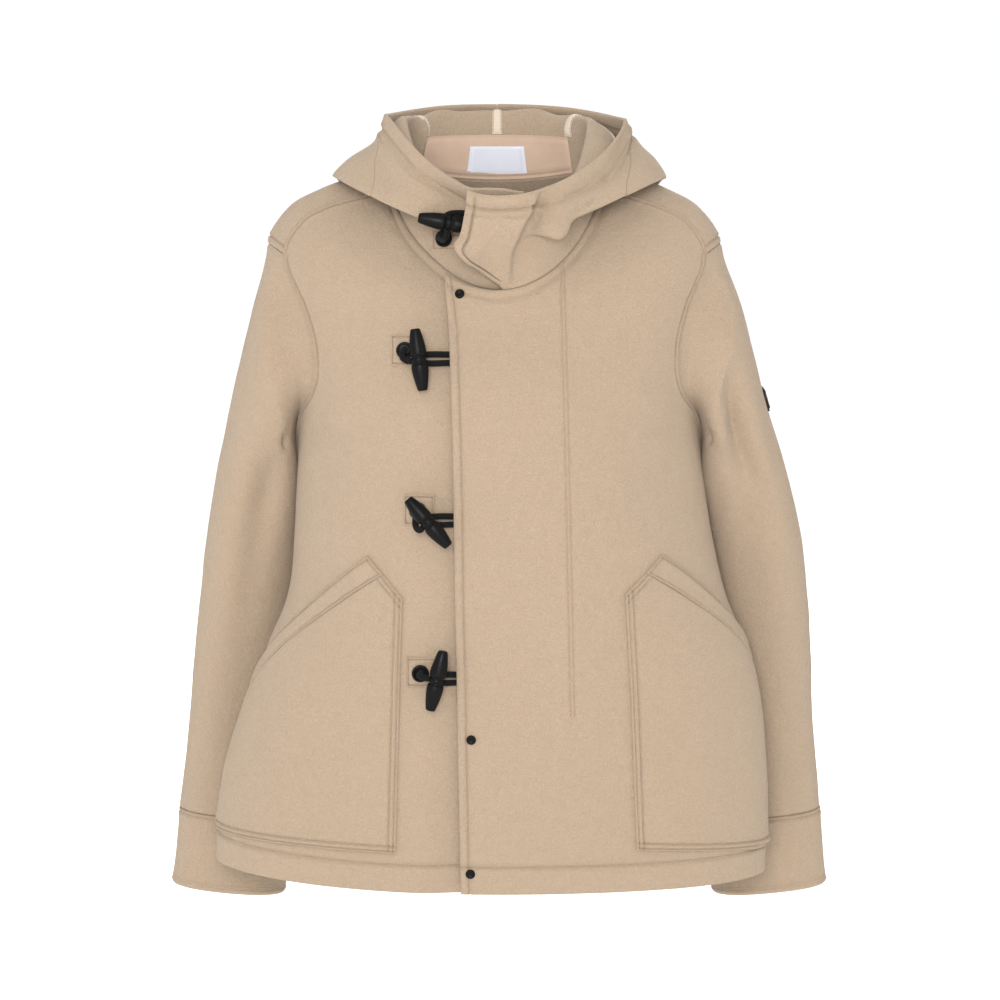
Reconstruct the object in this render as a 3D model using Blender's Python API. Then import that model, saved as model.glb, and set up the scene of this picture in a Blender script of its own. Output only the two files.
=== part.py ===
"""A hooded duffle jacket of thick wool cloth, filled out as if worn, with nobody in it.

Units are metres and +Z is up. The jacket faces -Y, so the wearer's right side is at -X. The origin
is midway between the shoulders, at the height where the shoulders carry the jacket.

The body and the hood are surfaces made of closed rings, which the tables TORSO and HOOD list from
the hem to the neck seam and from the neck seam to the hood's front edge. Each cut piece is a wall
of cloth over its own stretch of one of these surfaces. A place on a surface is (u, v): u is the
angle in degrees round the ring, 0 at the front and positive towards the wearer's left, and v is
the ring's number in its table, with the rings between two rows read from a smooth curve.
"""

import math
from collections import namedtuple

import bmesh
import bpy
from mathutils import Matrix, Vector
from mathutils.bvhtree import BVHTree

# ---------------------------------------------------------------- driving sizes
CLOTH = 0.003  # thick felted wool
SEAM_GAP = 0.0003
CURVED_GAP = 0.0012  # along a seam's row, where the seam runs aslant or the wall twists along it
FOLD_GAP = 0.0026  # the same where the hood's side seam turns over in the lowest fold
LINING = 0.001  # the smooth facing inside the neck
FACING_TOUCH = 0.0008
PATCH_CLOTH = 0.0015
PATCH_WIDTH = 0.030
LABEL_CLOTH = 0.0006
TOUCH = 0.0004  # clearance of a piece that lies on another
SLIVER = 0.0003  # cuts leave no triangle side shorter than this

PLACKET_EDGE_TOP = -0.052  # x of the left front's free edge, at the neck and at the hem
PLACKET_EDGE_HEM = -0.036
UNDERLAP_END = 0.030  # x where the right front ends, under the left one
UNDERLAP_DEPTH = 0.0095  # how far the right front dips to pass under the left one
UNDERLAP_SLOPE = 0.045

FLAP_FRONT = 0.134  # how far in front of the origin the flap stands
FLAP_RAMP_FREE = 0.022  # the flap gets there at this height over the neck seam: where it is free
FLAP_RAMP_SEWN = 0.085  # below, and where it is sewn on
FLAP_SEWN_X = -0.030  # x where it starts to be sewn on, and how far that takes
FLAP_SEWN_WIDTH = 0.040
CREASE_LOW = 0.012  # x of the crease beside the flap, at the neck seam and at the front edge
CREASE_TOP = 0.034
CREASE_WIDTH = 0.032
LUMP_X = 0.054  # where the roll on the left side ends
LUMP_Z = -0.036
LUMP_RADIUS = 0.024
LUMP_LIFT = 0.006
COLLAR_DEPTH = 0.020  # how far the collar's right side goes in under the flap, and at its top
COLLAR_RIM_DEPTH = 0.006
COLLAR_DIP_END = -0.039  # x where it has gone in all the way
COLLAR_END = 0.012  # x where the collar's right side ends, under the flap

SNAP_RADIUS = 0.0048
SNAP_HEIGHT = 0.0022

TOGGLE_LENGTH = 0.061
TOGGLE_RADIUS = 0.0083
TOGGLE_END_RADIUS = 0.0047
TOGGLE_WAIST_RADIUS = 0.0064
CORD_RADIUS = 0.0022
LOOP_WIDTH = 0.0102  # between the centre lines of a loop's two strands
BUTTON_RADIUS = 0.0085
BUTTON_THICKNESS = 0.0042
TOGGLE_LIFT = 0.0008  # between a toggle and its loop's cord
LOOP_CLEARANCE = 0.0004
LOOP_EDGE = 0.002  # a loop's strands come straight out of the placket for this far
LOOP_BEND = 0.004  # they start to close this far before the toggle's middle
LOOP_CLOSE = 0.003  # and are closest this far beyond it
LOOP_TURN = 0.0065  # where the loop turns back
TIE_RISE = 0.003  # how far a tie goes straight up out of its button
TIE_ARCH = 0.006  # how high its bend starts
TIE_REACH = 0.012  # how far beside the toggle its bend ends
TIE_END = 0.005  # how far beside the toggle's waist it comes in straight

# ---------------------------------------------------------------- tables
# A ring's half widths and depths, its heights, how its height falls towards the front and the back
# and how square its halves are. Right and left are the wearer's.
Ring = namedtuple(
    "Ring",
    "right left front back z_front z_right z_left z_back fall_right fall_left fall_back square_front square_back",
)
TORSO = (
    #    right  left   front  back   z_front z_right z_left  z_back  falls          squares
    Ring(0.290, 0.276, 0.124, 0.080, -0.695, -0.681, -0.693, -0.697, 2.0, 2.0, 2.0, 2.20, 2.20),  # 0 hem
    Ring(0.286, 0.276, 0.126, 0.082, -0.650, -0.640, -0.650, -0.650, 2.0, 2.0, 2.0, 2.20, 2.20),
    Ring(0.276, 0.274, 0.130, 0.086, -0.585, -0.580, -0.585, -0.585, 2.0, 2.0, 2.0, 2.18, 2.18),
    Ring(0.257, 0.268, 0.135, 0.091, -0.520, -0.520, -0.520, -0.520, 2.0, 2.0, 2.0, 2.15, 2.15),
    Ring(0.234, 0.254, 0.140, 0.097, -0.458, -0.458, -0.458, -0.458, 2.0, 2.0, 2.0, 2.12, 2.12),
    Ring(0.213, 0.233, 0.144, 0.104, -0.405, -0.405, -0.405, -0.405, 2.0, 2.0, 2.0, 2.10, 2.10),
    Ring(0.206, 0.216, 0.148, 0.111, -0.330, -0.330, -0.330, -0.330, 2.0, 2.0, 2.0, 2.06, 2.06),
    Ring(0.203, 0.207, 0.150, 0.118, -0.252, -0.250, -0.250, -0.250, 2.0, 2.0, 2.0, 2.02, 2.02),  # 7 armpit
    Ring(0.206, 0.207, 0.148, 0.120, -0.212, -0.198, -0.198, -0.208, 2.2, 2.2, 2.0, 2.00, 2.00),
    Ring(0.212, 0.211, 0.141, 0.119, -0.181, -0.147, -0.147, -0.166, 2.2, 2.2, 2.0, 2.00, 2.00),
    Ring(0.221, 0.218, 0.130, 0.116, -0.154, -0.099, -0.099, -0.126, 2.2, 2.2, 2.0, 2.00, 2.00),
    Ring(0.232, 0.227, 0.121, 0.111, -0.132, -0.050, -0.050, -0.090, 2.2, 2.2, 2.0, 2.00, 2.00),  # 11 tip
    Ring(0.210, 0.205, 0.118, 0.106, -0.122, -0.014, -0.015, -0.064, 2.0, 2.0, 1.9, 2.00, 2.00),
    Ring(0.179, 0.175, 0.116, 0.099, -0.113, 0.004, 0.003, -0.038, 1.7, 1.7, 1.8, 2.00, 2.00),
    Ring(0.144, 0.142, 0.114, 0.089, -0.105, 0.017, 0.017, -0.012, 1.4, 1.4, 1.7, 2.00, 2.00),
    Ring(0.108, 0.107, 0.111, 0.077, -0.093, 0.028, 0.028, 0.010, 1.15, 1.15, 1.6, 2.00, 2.00),  # 15 neck
)
ARMPIT, SHOULDER_TIP, NECK = 7, 11, 15

# Where the armhole cuts the rings from the armpit to the shoulder tip, as angles round the ring.
Armhole = namedtuple("Armhole", "front back")
ARMHOLE = (
    Armhole(90.0, 90.0),
    Armhole(66.0, 114.0),
    Armhole(60.0, 121.0),
    Armhole(62.0, 119.0),
    Armhole(67.5, 112.0),
)
YOKE_SEAM_NECK = 77.0  # the shoulder seam runs in front of the shoulder, from the armhole to here

HOOD = (
    #    right  left   front  back   z_front z_right z_left  z_back  falls            squares
    TORSO[NECK]._replace(z_front=-0.0915, z_right=0.0295, z_left=0.0295, z_back=0.0112),  # 0 neck seam
    Ring(0.101, 0.101, 0.114, 0.080, -0.077, 0.046, 0.046, 0.044, 1.2, 1.2, 1.6, 2.0, 2.1),
    Ring(0.095, 0.095, 0.117, 0.088, -0.064, 0.064, 0.062, 0.070, 1.4, 1.3, 1.6, 2.0, 2.2),
    Ring(0.095, 0.095, 0.119, 0.101, -0.053, 0.073, 0.071, 0.079, 1.8, 1.4, 1.6, 2.0, 2.3),  # 3 inner fold
    Ring(0.114, 0.117, 0.121, 0.122, -0.046, 0.056, 0.054, 0.030, 2.0, 1.8, 1.8, 2.0, 2.2),
    Ring(0.140, 0.143, 0.122, 0.140, -0.041, 0.0240, 0.0230, -0.100, 2.2, 2.2, 2.2, 2.0, 2.0),
    Ring(0.166, 0.170, 0.124, 0.156, -0.034, 0.0170, 0.0150, -0.190, 2.4, 2.7, 2.4, 2.0, 2.0),  # 6 lowest
    Ring(0.151, 0.160, 0.126, 0.172, -0.026, 0.0340, 0.0340, -0.155, 2.4, 2.3, 2.2, 2.0, 2.0),
    Ring(0.125, 0.142, 0.127, 0.170, -0.017, 0.051, 0.051, -0.040, 2.4, 1.9, 2.0, 2.0, 2.1),
    Ring(0.117, 0.135, 0.128, 0.148, -0.009, 0.067, 0.066, 0.048, 2.4, 1.7, 2.0, 2.0, 2.3),
    Ring(0.114, 0.131, 0.129, 0.124, 0.000, 0.080, 0.076, 0.091, 2.3, 1.5, 2.2, 2.0, 2.6),  # 10 front edge
)
HOOD_EDGE = 10
INNER_FOLD_ROW, LOW_FOLD_ROW, RIM_ROW = 3.0, 5.5, 8.0  # the folds, and where the rim starts
FACING_LOW, FACING_HIGH, FACING_SIDE = 0.12, 1.45, 132.0
LABEL_LOW, LABEL_HIGH, LABEL_HALF_WIDTH = 0.25, 1.12, 0.0295
# The seam between the hood's side panel and its back panel, as an angle round each ring of HOOD.
HOOD_SEAM = (128.0, 130.0, 130.0, 118.0, 84.0, 56.0, 49.0, 54.0, 72.0, 95.0, 108.0)
# The throat flap's free edge, as x on each ring of HOOD: a cut corner, then a straight edge.
FLAP_EDGE = (0.006, -0.0140, -0.0280, -0.0320, -0.0320, -0.0325, -0.0320, -0.0306, -0.0285, -0.0277, -0.0271)

# left_out is how much further out the left sleeve hangs.
SleeveRing = namedtuple("SleeveRing", "outer_x outer_y outer_z inner_x inner_y inner_z depth left_out")
SLEEVE = (
    #          outer_x outer_y outer_z inner_x inner_y inner_z depth left_out
    SleeveRing(0.2490, 0.014, -0.118, 0.2100, 0.014, -0.2560, 0.084, 0.000),
    SleeveRing(0.2620, 0.022, -0.172, 0.2070, 0.030, -0.2740, 0.085, 0.001),
    SleeveRing(0.2740, 0.031, -0.220, 0.2030, 0.047, -0.3000, 0.082, 0.003),
    SleeveRing(0.2860, 0.042, -0.272, 0.1990, 0.066, -0.3350, 0.077, 0.009),
    SleeveRing(0.2980, 0.056, -0.340, 0.1970, 0.085, -0.3850, 0.072, 0.014),
    SleeveRing(0.3080, 0.070, -0.410, 0.1990, 0.100, -0.4430, 0.067, 0.014),
    SleeveRing(0.3160, 0.083, -0.480, 0.2050, 0.110, -0.5040, 0.062, 0.012),
    SleeveRing(0.3230, 0.091, -0.545, 0.2110, 0.112, -0.5620, 0.057, 0.009),
    SleeveRing(0.3290, 0.093, -0.600, 0.2170, 0.107, -0.6140, 0.053, 0.007),
    SleeveRing(0.3350, 0.093, -0.645, 0.2210, 0.103, -0.6560, 0.049, 0.005),  # the cuff's seam
    SleeveRing(0.3390, 0.092, -0.690, 0.2230, 0.100, -0.7010, 0.046, 0.005),
    SleeveRing(0.3440, 0.092, -0.725, 0.2240, 0.098, -0.7380, 0.045, 0.004),
)
CUFF_SEAM, CUFF_END = 9, 11

# In the front view: a toggle's middle and lean, its button's middle and its patch's low right corner.
# tuck is how far its loop's ends go under the placket or the flap, raised is how much further the
# toggle stands off the cloth, tucked is how far its lower end leans back and loop_up is how much
# higher than the toggle's middle the loop lies.
Toggle = namedtuple(
    "Toggle", "name x z lean button_x button_z patch_x patch_z patch_height tuck raised tucked loop_up"
)
TOGGLES = (
    Toggle("throat", -0.0475, -0.0270, 80.0, -0.0580, -0.0435, -0.0640, -0.0550, 0.018, 0.004, 0.000, 0.011, 0.005),
    Toggle("chest", -0.0716, -0.1596, 8.0, -0.0903, -0.1527, -0.1040, -0.1670, 0.030, 0.009, 0.002, 0.000, 0.0),
    Toggle("waist", -0.0618, -0.3175, 42.0, -0.0785, -0.3077, -0.0912, -0.3225, 0.030, 0.009, 0.008, 0.004, 0.0),
    Toggle("hip", -0.0569, -0.4755, -13.0, -0.0765, -0.4696, -0.0893, -0.4840, 0.030, 0.009, 0.002, 0.000, 0.0),
)
# x and z of each press stud on the left front's edge.
SNAPS = (("top", -0.0366, -0.0970), ("hip", -0.0255, -0.5366), ("hem", -0.0265, -0.6733))

# A patch pocket by its corners: its front edge goes straight up and then leans back to its top, and
# the opening slopes from there to the side. Distances are x, or an angle round the ring at the side.
Pocket = namedtuple(
    "Pocket", "side low_x low_z bend_x bend_z top_x top_z welt_x welt_z side_u side_x side_top side_welt side_low"
)
POCKETS = (
    Pocket("right", -0.1008, -0.6534, -0.0927, -0.3958, -0.1267, -0.3557, -0.1117, -0.3730,
           -90.0, -0.240, -0.4870, -0.5100, -0.6480),
    Pocket("left", 0.1395, -0.6514, 0.1263, -0.3928, 0.1630, -0.3557, 0.1469, -0.3730,
           90.0, 0.260, -0.4560, -0.4820, -0.6655),
)

TAB_BOX = ((0.25, 0.008, -0.222), (0.40, 0.052, -0.198))  # the plain tab on the left sleeve
TAB_CLOTH = 0.002

BEIGE = (0.62, 0.47, 0.34, 1.0)
BEIGE_LINING = (0.55, 0.39, 0.28, 1.0)
BLACK = (0.012, 0.011, 0.010, 1.0)
WHITE = (0.86, 0.86, 0.90, 1.0)


# ---------------------------------------------------------------- surfaces
def lerp(a, b, t):
    return a + (b - a) * t


def ease(t):
    """0 below 0, 1 above 1 and a smooth step between."""
    t = min(1.0, max(0.0, t))
    return t * t * (3.0 - 2.0 * t)


def smooth_between(before, low, high, after, t):
    """The value t of the way from low to high on the Catmull-Rom curve through the four."""
    return 0.5 * (
        2.0 * low
        + (high - before) * t
        + (2.0 * before - 5.0 * low + 4.0 * high - after) * t * t
        + (3.0 * low - before - 3.0 * high + after) * t**3
    )


def read_table(table, v):
    """The row at v of a table of numbers, between rows too, as a tuple."""
    last = len(table) - 1
    v = min(max(v, 0.0), float(last))
    low = min(int(v), last - 1)
    rows = [table[min(max(low + k, 0), last)] for k in (-1, 0, 1, 2)]
    if not isinstance(rows[0], tuple):
        return smooth_between(*rows, v - low)
    return type(rows[0])(*(smooth_between(*values, v - low) for values in zip(*rows)))


def signed_power(value, power):
    return math.copysign(abs(value) ** power, value)


def ring_point(ring, u):
    """The point of a ring at the angle u: two half superellipses, with the ring's own heights."""
    s, c = math.sin(math.radians(u)), math.cos(math.radians(u))
    half_width, z_side, fall = ring.right, ring.z_right, ring.fall_right
    if s > 0:
        half_width, z_side, fall = ring.left, ring.z_left, ring.fall_left
    depth, z_end, square = ring.front, ring.z_front, ring.square_front
    if c < 0:
        depth, z_end, square, fall = ring.back, ring.z_back, ring.square_back, ring.fall_back
    x = half_width * signed_power(s, 2.0 / square)
    y = -depth * signed_power(c, 2.0 / square)
    return Vector((x, y, z_side + (z_end - z_side) * abs(c) ** fall))


class Surface:
    """A surface of rings, with the places and normals on it."""

    U_STEP, V_STEP = 0.8, 0.04

    def __init__(self, table):
        self.table = table
        self.end = float(len(table) - 1)
        self.mitres = {}  # for an end that is sewn to another surface, the normal that both share

    def point(self, u, v):
        return ring_point(read_table(self.table, v), u)

    def normal(self, u, v):
        mitre = self.mitres.get(v)
        return mitre(u) if mitre else self.own_normal(u, v)

    def own_normal(self, u, v, place=None):
        """The surface's normal, or that of the moved surface whose points are place(u, v)."""
        place = place or self.point
        across = place(u + self.U_STEP, v) - place(u - self.U_STEP, v)
        low, high = max(v - self.V_STEP, 0.0), min(v + self.V_STEP, self.end)
        up = place(u, high) - place(u, low)
        return across.cross(up).normalized()

    def degrees(self, u, v, length):
        """How many degrees round the ring a short length is."""
        step = (self.point(u + self.U_STEP, v) - self.point(u - self.U_STEP, v)).length
        return 2.0 * self.U_STEP * length / step

    def u_at_x(self, x, v):
        """The angle on the front half of the ring where it has this x."""
        ring = read_table(self.table, v)
        half_width = ring.left if x > 0 else ring.right
        share = min(1.0, abs(x) / half_width) ** (ring.square_front / 2.0)
        return math.copysign(math.degrees(math.asin(share)), x)

    def v_at_z(self, u, z, low, high):
        """The ring between low and high whose height at the angle u is z. Heights rise with v."""
        for _ in range(40):
            middle = (low + high) / 2.0
            if self.point(u, middle).z < z:
                low = middle
            else:
                high = middle
        return (low + high) / 2.0

    def find_front(self, x, z, low, high):
        """(u, v) of the front's place with this x and z."""
        u = 0.0
        for _ in range(12):
            v = self.v_at_z(u, z, low, high)
            u = self.u_at_x(x, v)
        return u, v


torso = Surface(TORSO)
hood = Surface(HOOD)


def neck_mitre(u):
    return (torso.own_normal(u, torso.end) + hood.own_normal(u, 0.0)).normalized()


torso.mitres[torso.end] = neck_mitre
hood.mitres[0.0] = neck_mitre


# ---------------------------------------------------------------- materials and objects
def material(name, colour, roughness, metallic=0.0):
    made = bpy.data.materials.new(name)
    made.use_nodes = True
    shader = made.node_tree.nodes["Principled BSDF"]
    shader.inputs["Base Color"].default_value = colour
    shader.inputs["Roughness"].default_value = roughness
    shader.inputs["Metallic"].default_value = metallic
    return made


def add_mesh(name, mesh, surface_material, smooth=True):
    mesh.materials.append(surface_material)
    if smooth:
        mesh.shade_smooth()
        mesh.set_sharp_from_angle(angle=math.radians(40))
    made = bpy.data.objects.new(name, mesh)
    jacket.objects.link(made)
    return made


def wall(name, places, cells, surface_material):
    """A wall of cloth. places gives (outer point, inner point) for each (row, column), and cells are
    the lower left corners of its squares, with the rows upward as seen from outside."""
    mesh = bpy.data.meshes.new(name)
    build = bmesh.new()
    is_outer = build.faces.layers.int.new("outer")
    outer = {key: build.verts.new(pair[0]) for key, pair in places.items()}
    inner = {key: build.verts.new(pair[1]) for key, pair in places.items()}
    uses = set()
    for row, column in cells:
        corners = ((row, column), (row, column + 1), (row + 1, column + 1), (row + 1, column))
        build.faces.new([outer[k] for k in corners])[is_outer] = 1
        build.faces.new([inner[k] for k in reversed(corners)])
        uses.update(zip(corners, corners[1:] + corners[:1]))
    rims = []
    for start, end in sorted(uses):
        if (end, start) not in uses:
            rim = (outer[start], inner[start], inner[end], outer[end])
            rims.append(build.faces.new(rim if start < end else rim[3:] + rim[:3]))
    bmesh.ops.triangulate(build, faces=rims, quad_method="FIXED")  # both sides of a seam split alike
    bmesh.ops.triangulate(build, faces=build.faces)
    build.to_mesh(mesh)
    build.free()
    return add_mesh(name, mesh, surface_material)


def laid_piece(name, carrier, planes, thickness, surface_material):
    """A piece that lies on a wall: the wall's outer face inside all the planes, moved out. Each
    plane is a point on it and a direction out of the piece."""
    mesh = bpy.data.meshes.new(name)
    build = bmesh.new()
    build.from_mesh(bpy.data.objects[carrier].data)
    is_outer = build.faces.layers.int["outer"]
    spare = [face for face in build.faces if not face[is_outer]]
    bmesh.ops.delete(build, geom=spare, context="FACES")
    for point, out in planes:
        everything = build.verts[:] + build.edges[:] + build.faces[:]
        bmesh.ops.bisect_plane(build, geom=everything, plane_co=point, plane_no=out, clear_outer=True)
    bmesh.ops.dissolve_degenerate(build, edges=build.edges, dist=SLIVER)
    bmesh.ops.triangulate(build, faces=build.faces)
    build.normal_update()
    low = build.verts[:]
    high = {vert: build.verts.new(vert.co + vert.normal * (TOUCH + thickness)) for vert in low}
    edge = [(loop.vert, loop.link_loop_next.vert) for side in build.edges if side.is_boundary
            for loop in side.link_loops]
    for face in build.faces[:]:
        build.faces.new([high[vert] for vert in face.verts])[is_outer] = 1
        face[is_outer] = 0
        face.normal_flip()
    for start, end in edge:
        build.faces.new((start, end, high[end], high[start]))
    for vert in low:
        vert.co += vert.normal * TOUCH
    bmesh.ops.triangulate(build, faces=build.faces)
    build.to_mesh(mesh)
    build.free()
    return add_mesh(name, mesh, surface_material)


def tube_wall(name, rings, surface_material):
    """A tube of cloth through rings of (outer point, inner point), each ring closed on itself."""
    count = len(rings[0])
    mesh = bpy.data.meshes.new(name)
    build = bmesh.new()
    is_outer = build.faces.layers.int.new("outer")
    outer = [[build.verts.new(pair[0]) for pair in ring] for ring in rings]
    inner = [[build.verts.new(pair[1]) for pair in ring] for ring in rings]
    for row in range(len(rings) - 1):
        for k in range(count):
            n = (k + 1) % count
            face = build.faces.new((outer[row][k], outer[row][n], outer[row + 1][n], outer[row + 1][k]))
            face[is_outer] = 1
            build.faces.new((inner[row][k], inner[row + 1][k], inner[row + 1][n], inner[row][n]))
    for k in range(count):
        n = (k + 1) % count
        build.faces.new((outer[0][n], outer[0][k], inner[0][k], inner[0][n]))
        build.faces.new((outer[-1][k], outer[-1][n], inner[-1][n], inner[-1][k]))
    bmesh.ops.triangulate(build, faces=build.faces)
    bmesh.ops.recalc_face_normals(build, faces=build.faces)
    build.to_mesh(mesh)
    build.free()
    return add_mesh(name, mesh, surface_material)


def outward(u):
    """The level direction out from the body at an angle round it."""
    return Vector((math.sin(math.radians(u)), -math.cos(math.radians(u)), 0.0))


def panel(name, surface, levels, columns, start, end, surface_material, push=None, lift=0.0, thickness=CLOTH):
    """A cut piece between the edges start(v) and end(v), given as angles, over the rings in levels.
    push(u, v) moves the surface out level, and lift moves the piece along the surface's normal."""

    def place(u, v):
        return surface.point(u, v) + outward(u) * (push(u, v) if push else 0.0)

    places = {}
    for row, v in enumerate(levels):
        first, last = start(v), end(v)
        for column in range(columns + 1):
            u = lerp(first, last, column / columns)
            if v in surface.mitres or not push:
                normal = surface.normal(u, v)
            else:
                normal = surface.own_normal(u, v, place)
            outer = place(u, v) + normal * lift
            places[row, column] = (outer, outer - normal * thickness)
    cells = [(row, column) for row in range(len(levels) - 1) for column in range(columns)]
    return wall(name, places, cells, surface_material)


def levels_between(*stops):
    """Ring numbers for a grid: (start, number of steps, next start, number of steps, ..., end)."""
    found = [stops[0]]
    for low, steps, high in zip(stops[0::2], stops[1::2], stops[2::2]):
        found += [lerp(low, high, (k + 1) / steps) for k in range(steps)]
    return found


# ---------------------------------------------------------------- body
BODY_LEVELS = levels_between(0.0, 12, float(ARMPIT), 6, float(SHOULDER_TIP), 5, float(NECK))
BODY_TOP, TIP_ROW = 12, 18  # rows of BODY_LEVELS: the armpit's and the shoulder tip's
RIGHT_COLUMNS, LEFT_COLUMNS = 12, 13  # of the two fronts
HALF_GAP = SEAM_GAP / 2.0


def armhole_angle(v, edge):
    return getattr(read_table(ARMHOLE, v - ARMPIT), edge)


def yoke_angle(v):
    """The shoulder seam, which runs in front of the shoulder from the armhole to the neck."""
    share = (v - SHOULDER_TIP) / (NECK - SHOULDER_TIP)
    return lerp(ARMHOLE[-1].front, YOKE_SEAM_NECK, share)


def front_outer_angle(v):
    """The front's outer edge: side seam, armhole, then shoulder seam."""
    if v <= ARMPIT:
        return 90.0
    return armhole_angle(v, "front") if v <= SHOULDER_TIP else yoke_angle(v)


def placket_x(v):
    return lerp(PLACKET_EDGE_HEM, PLACKET_EDGE_TOP, v / NECK)


def underlap_push(u, v):
    """The right front dips where it passes under the left one, far enough for the toggle loops."""
    x = torso.point(u, v).x
    return -UNDERLAP_DEPTH * ease((x - placket_x(v) + UNDERLAP_SLOPE) / UNDERLAP_SLOPE)


def make_fronts(wool):
    def right_start(v):
        outer = -front_outer_angle(v)
        return outer + torso.degrees(outer, v, HALF_GAP)

    def left_end(v):
        outer = front_outer_angle(v)
        return outer - torso.degrees(outer, v, HALF_GAP)

    panel(
        "front_right", torso, BODY_LEVELS, RIGHT_COLUMNS, right_start,
        lambda v: torso.u_at_x(UNDERLAP_END, v), wool, push=underlap_push,
    )
    panel(
        "front_left", torso, BODY_LEVELS, LEFT_COLUMNS,
        lambda v: torso.u_at_x(placket_x(v), v), left_end, wool,
    )


BACK_COLUMNS = 7  # from the middle of the back to the armhole
SHOULDER_COLUMNS = 4  # over the shoulder, from the armhole's back to the shoulder seam


def back_angle(column, v):
    """The angle of the back's grid, from 180 in the middle out to a side seam or shoulder seam."""
    if v <= ARMPIT:
        edge = 90.0
    elif v <= SHOULDER_TIP:
        edge = armhole_angle(v, "back")
    else:
        edge = ARMHOLE[-1].back
    if column <= BACK_COLUMNS:
        if column == BACK_COLUMNS and v <= SHOULDER_TIP:
            edge += torso.degrees(edge, v, HALF_GAP)
        return lerp(180.0, edge, column / BACK_COLUMNS)
    seam = yoke_angle(v)
    seam += torso.degrees(seam, v, HALF_GAP)
    return lerp(edge, seam, (column - BACK_COLUMNS) / SHOULDER_COLUMNS)


def make_back(wool):
    """The back and both shoulders in one piece, which comes over to the shoulder seams in front."""
    widest = BACK_COLUMNS + SHOULDER_COLUMNS
    places, cells = {}, []
    for row, v in enumerate(BODY_LEVELS):
        reach = widest if row >= TIP_ROW else BACK_COLUMNS
        for column in range(-reach, reach + 1):
            u = back_angle(abs(column), v)
            u = u if column < 0 else -u
            place, normal = torso.point(u, v), torso.normal(u, v)
            places[row, column] = (place, place - normal * CLOTH)
        if row < len(BODY_LEVELS) - 1:
            cells += [(row, column) for column in range(-reach, reach)]
    wall("back", places, cells, wool)


# ---------------------------------------------------------------- sleeves
def armhole_loop(side):
    """The armhole's edge as (outer point, inner point, direction into the hole), from the shoulder
    tip's front corner down the front, up the back and over the top. side is 1 for the left."""
    front = [(front_outer_angle(v), v) for v in reversed(BODY_LEVELS[BODY_TOP : TIP_ROW + 1])]
    back = [(armhole_angle(v, "back"), v) for v in BODY_LEVELS[BODY_TOP + 1 : TIP_ROW + 1]]
    tip = float(SHOULDER_TIP)
    corner = (ARMHOLE[-1].back, ARMHOLE[-1].front)
    top = [(lerp(*corner, k / SHOULDER_COLUMNS), tip) for k in range(1, SHOULDER_COLUMNS)]
    spots = [(side * u, v) for u, v in front + back + top]
    points = [torso.point(u, v) for u, v in spots]
    loop = []
    for k, (u, v) in enumerate(spots):
        along = points[(k + 1) % len(points)] - points[k - 1]
        normal = torso.normal(u, v)
        into = normal.cross(along).normalized() * side
        loop.append((points[k], points[k] - normal * CLOTH, into))
    return loop


def sleeve_ring(ring, angles, side):
    """Points round a sleeve, from its outer line over its front to its inner line."""
    out = ring.left_out if side > 0 else 0.0
    outer = Vector((side * (ring.outer_x + out), ring.outer_y, ring.outer_z))
    inner = Vector((side * (ring.inner_x + out), ring.inner_y, ring.inner_z))
    middle, reach = (outer + inner) / 2.0, (outer - inner) / 2.0
    return [middle + reach * math.cos(a) - Vector((0, ring.depth, 0)) * math.sin(a) for a in angles]


def loop_angles(loop):
    """The loop's points as angles round a sleeve: 0 at the top, half a turn at the armpit."""
    lengths = [(loop[k][0] - loop[k - 1][0]).length for k in range(len(loop))]
    along = [sum(lengths[1 : k + 1]) for k in range(len(loop))]
    whole = sum(lengths)
    down = along[TIP_ROW - BODY_TOP]  # from the front corner to the armpit
    up = whole - down
    top = whole - sum(lengths[-k] for k in range(0, 2))  # the middle of the shoulder's edge
    found = []
    for k, length in enumerate(along):
        if length <= down:
            found.append(math.pi * lerp((whole - top) / (down + whole - top), 1.0, length / down))
        else:
            found.append(math.pi * (1.0 + (length - down) / (up - (whole - top))))
    return found


def hermite(start, start_pull, end, end_pull, t):
    return (
        start * (2 * t**3 - 3 * t * t + 1)
        + start_pull * (t**3 - 2 * t * t + t)
        + end * (3 * t * t - 2 * t**3)
        + end_pull * (t**3 - t * t)
    )


CAP_STEPS = 4
UNDERARM_PULL = 0.012


def sleeve_rows(side):
    """The sleeve's outer points, ring by ring from the armhole, and the armhole's inner points."""
    loop = armhole_loop(side)
    angles = loop_angles(loop)
    first = sleeve_ring(SLEEVE[0], angles, side)
    second = sleeve_ring(read_table(SLEEVE, 0.25), angles, side)
    seam = [point + into * SEAM_GAP for point, _, into in loop]
    rows = [seam]
    for step in range(1, CAP_STEPS):
        t = step / CAP_STEPS
        row = []
        for (_, _, into), start, end, after in zip(loop, seam, first, second):
            reach = max(UNDERARM_PULL, (end - start).length)
            ahead = (after - end).normalized() * reach
            row.append(hermite(start, into * reach, end, ahead, t))
        rows.append(row)
    for v in levels_between(0.0, 6, 4.0, 6, float(CUFF_SEAM)):
        rows.append(sleeve_ring(read_table(SLEEVE, v), angles, side))
    inner_seam = [inner + into * CURVED_GAP for _, inner, into in loop]
    return rows, inner_seam, angles


def row_normals(rows, k, side):
    """Outward normals of row k of a tube of points."""
    count = len(rows[k])
    before, after = rows[max(k - 1, 0)], rows[min(k + 1, len(rows) - 1)]
    found = []
    for j in range(count):
        around = rows[k][(j + 1) % count] - rows[k][j - 1]
        down = after[j] - before[j]
        found.append(around.cross(down).normalized() * side)
    return found


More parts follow.
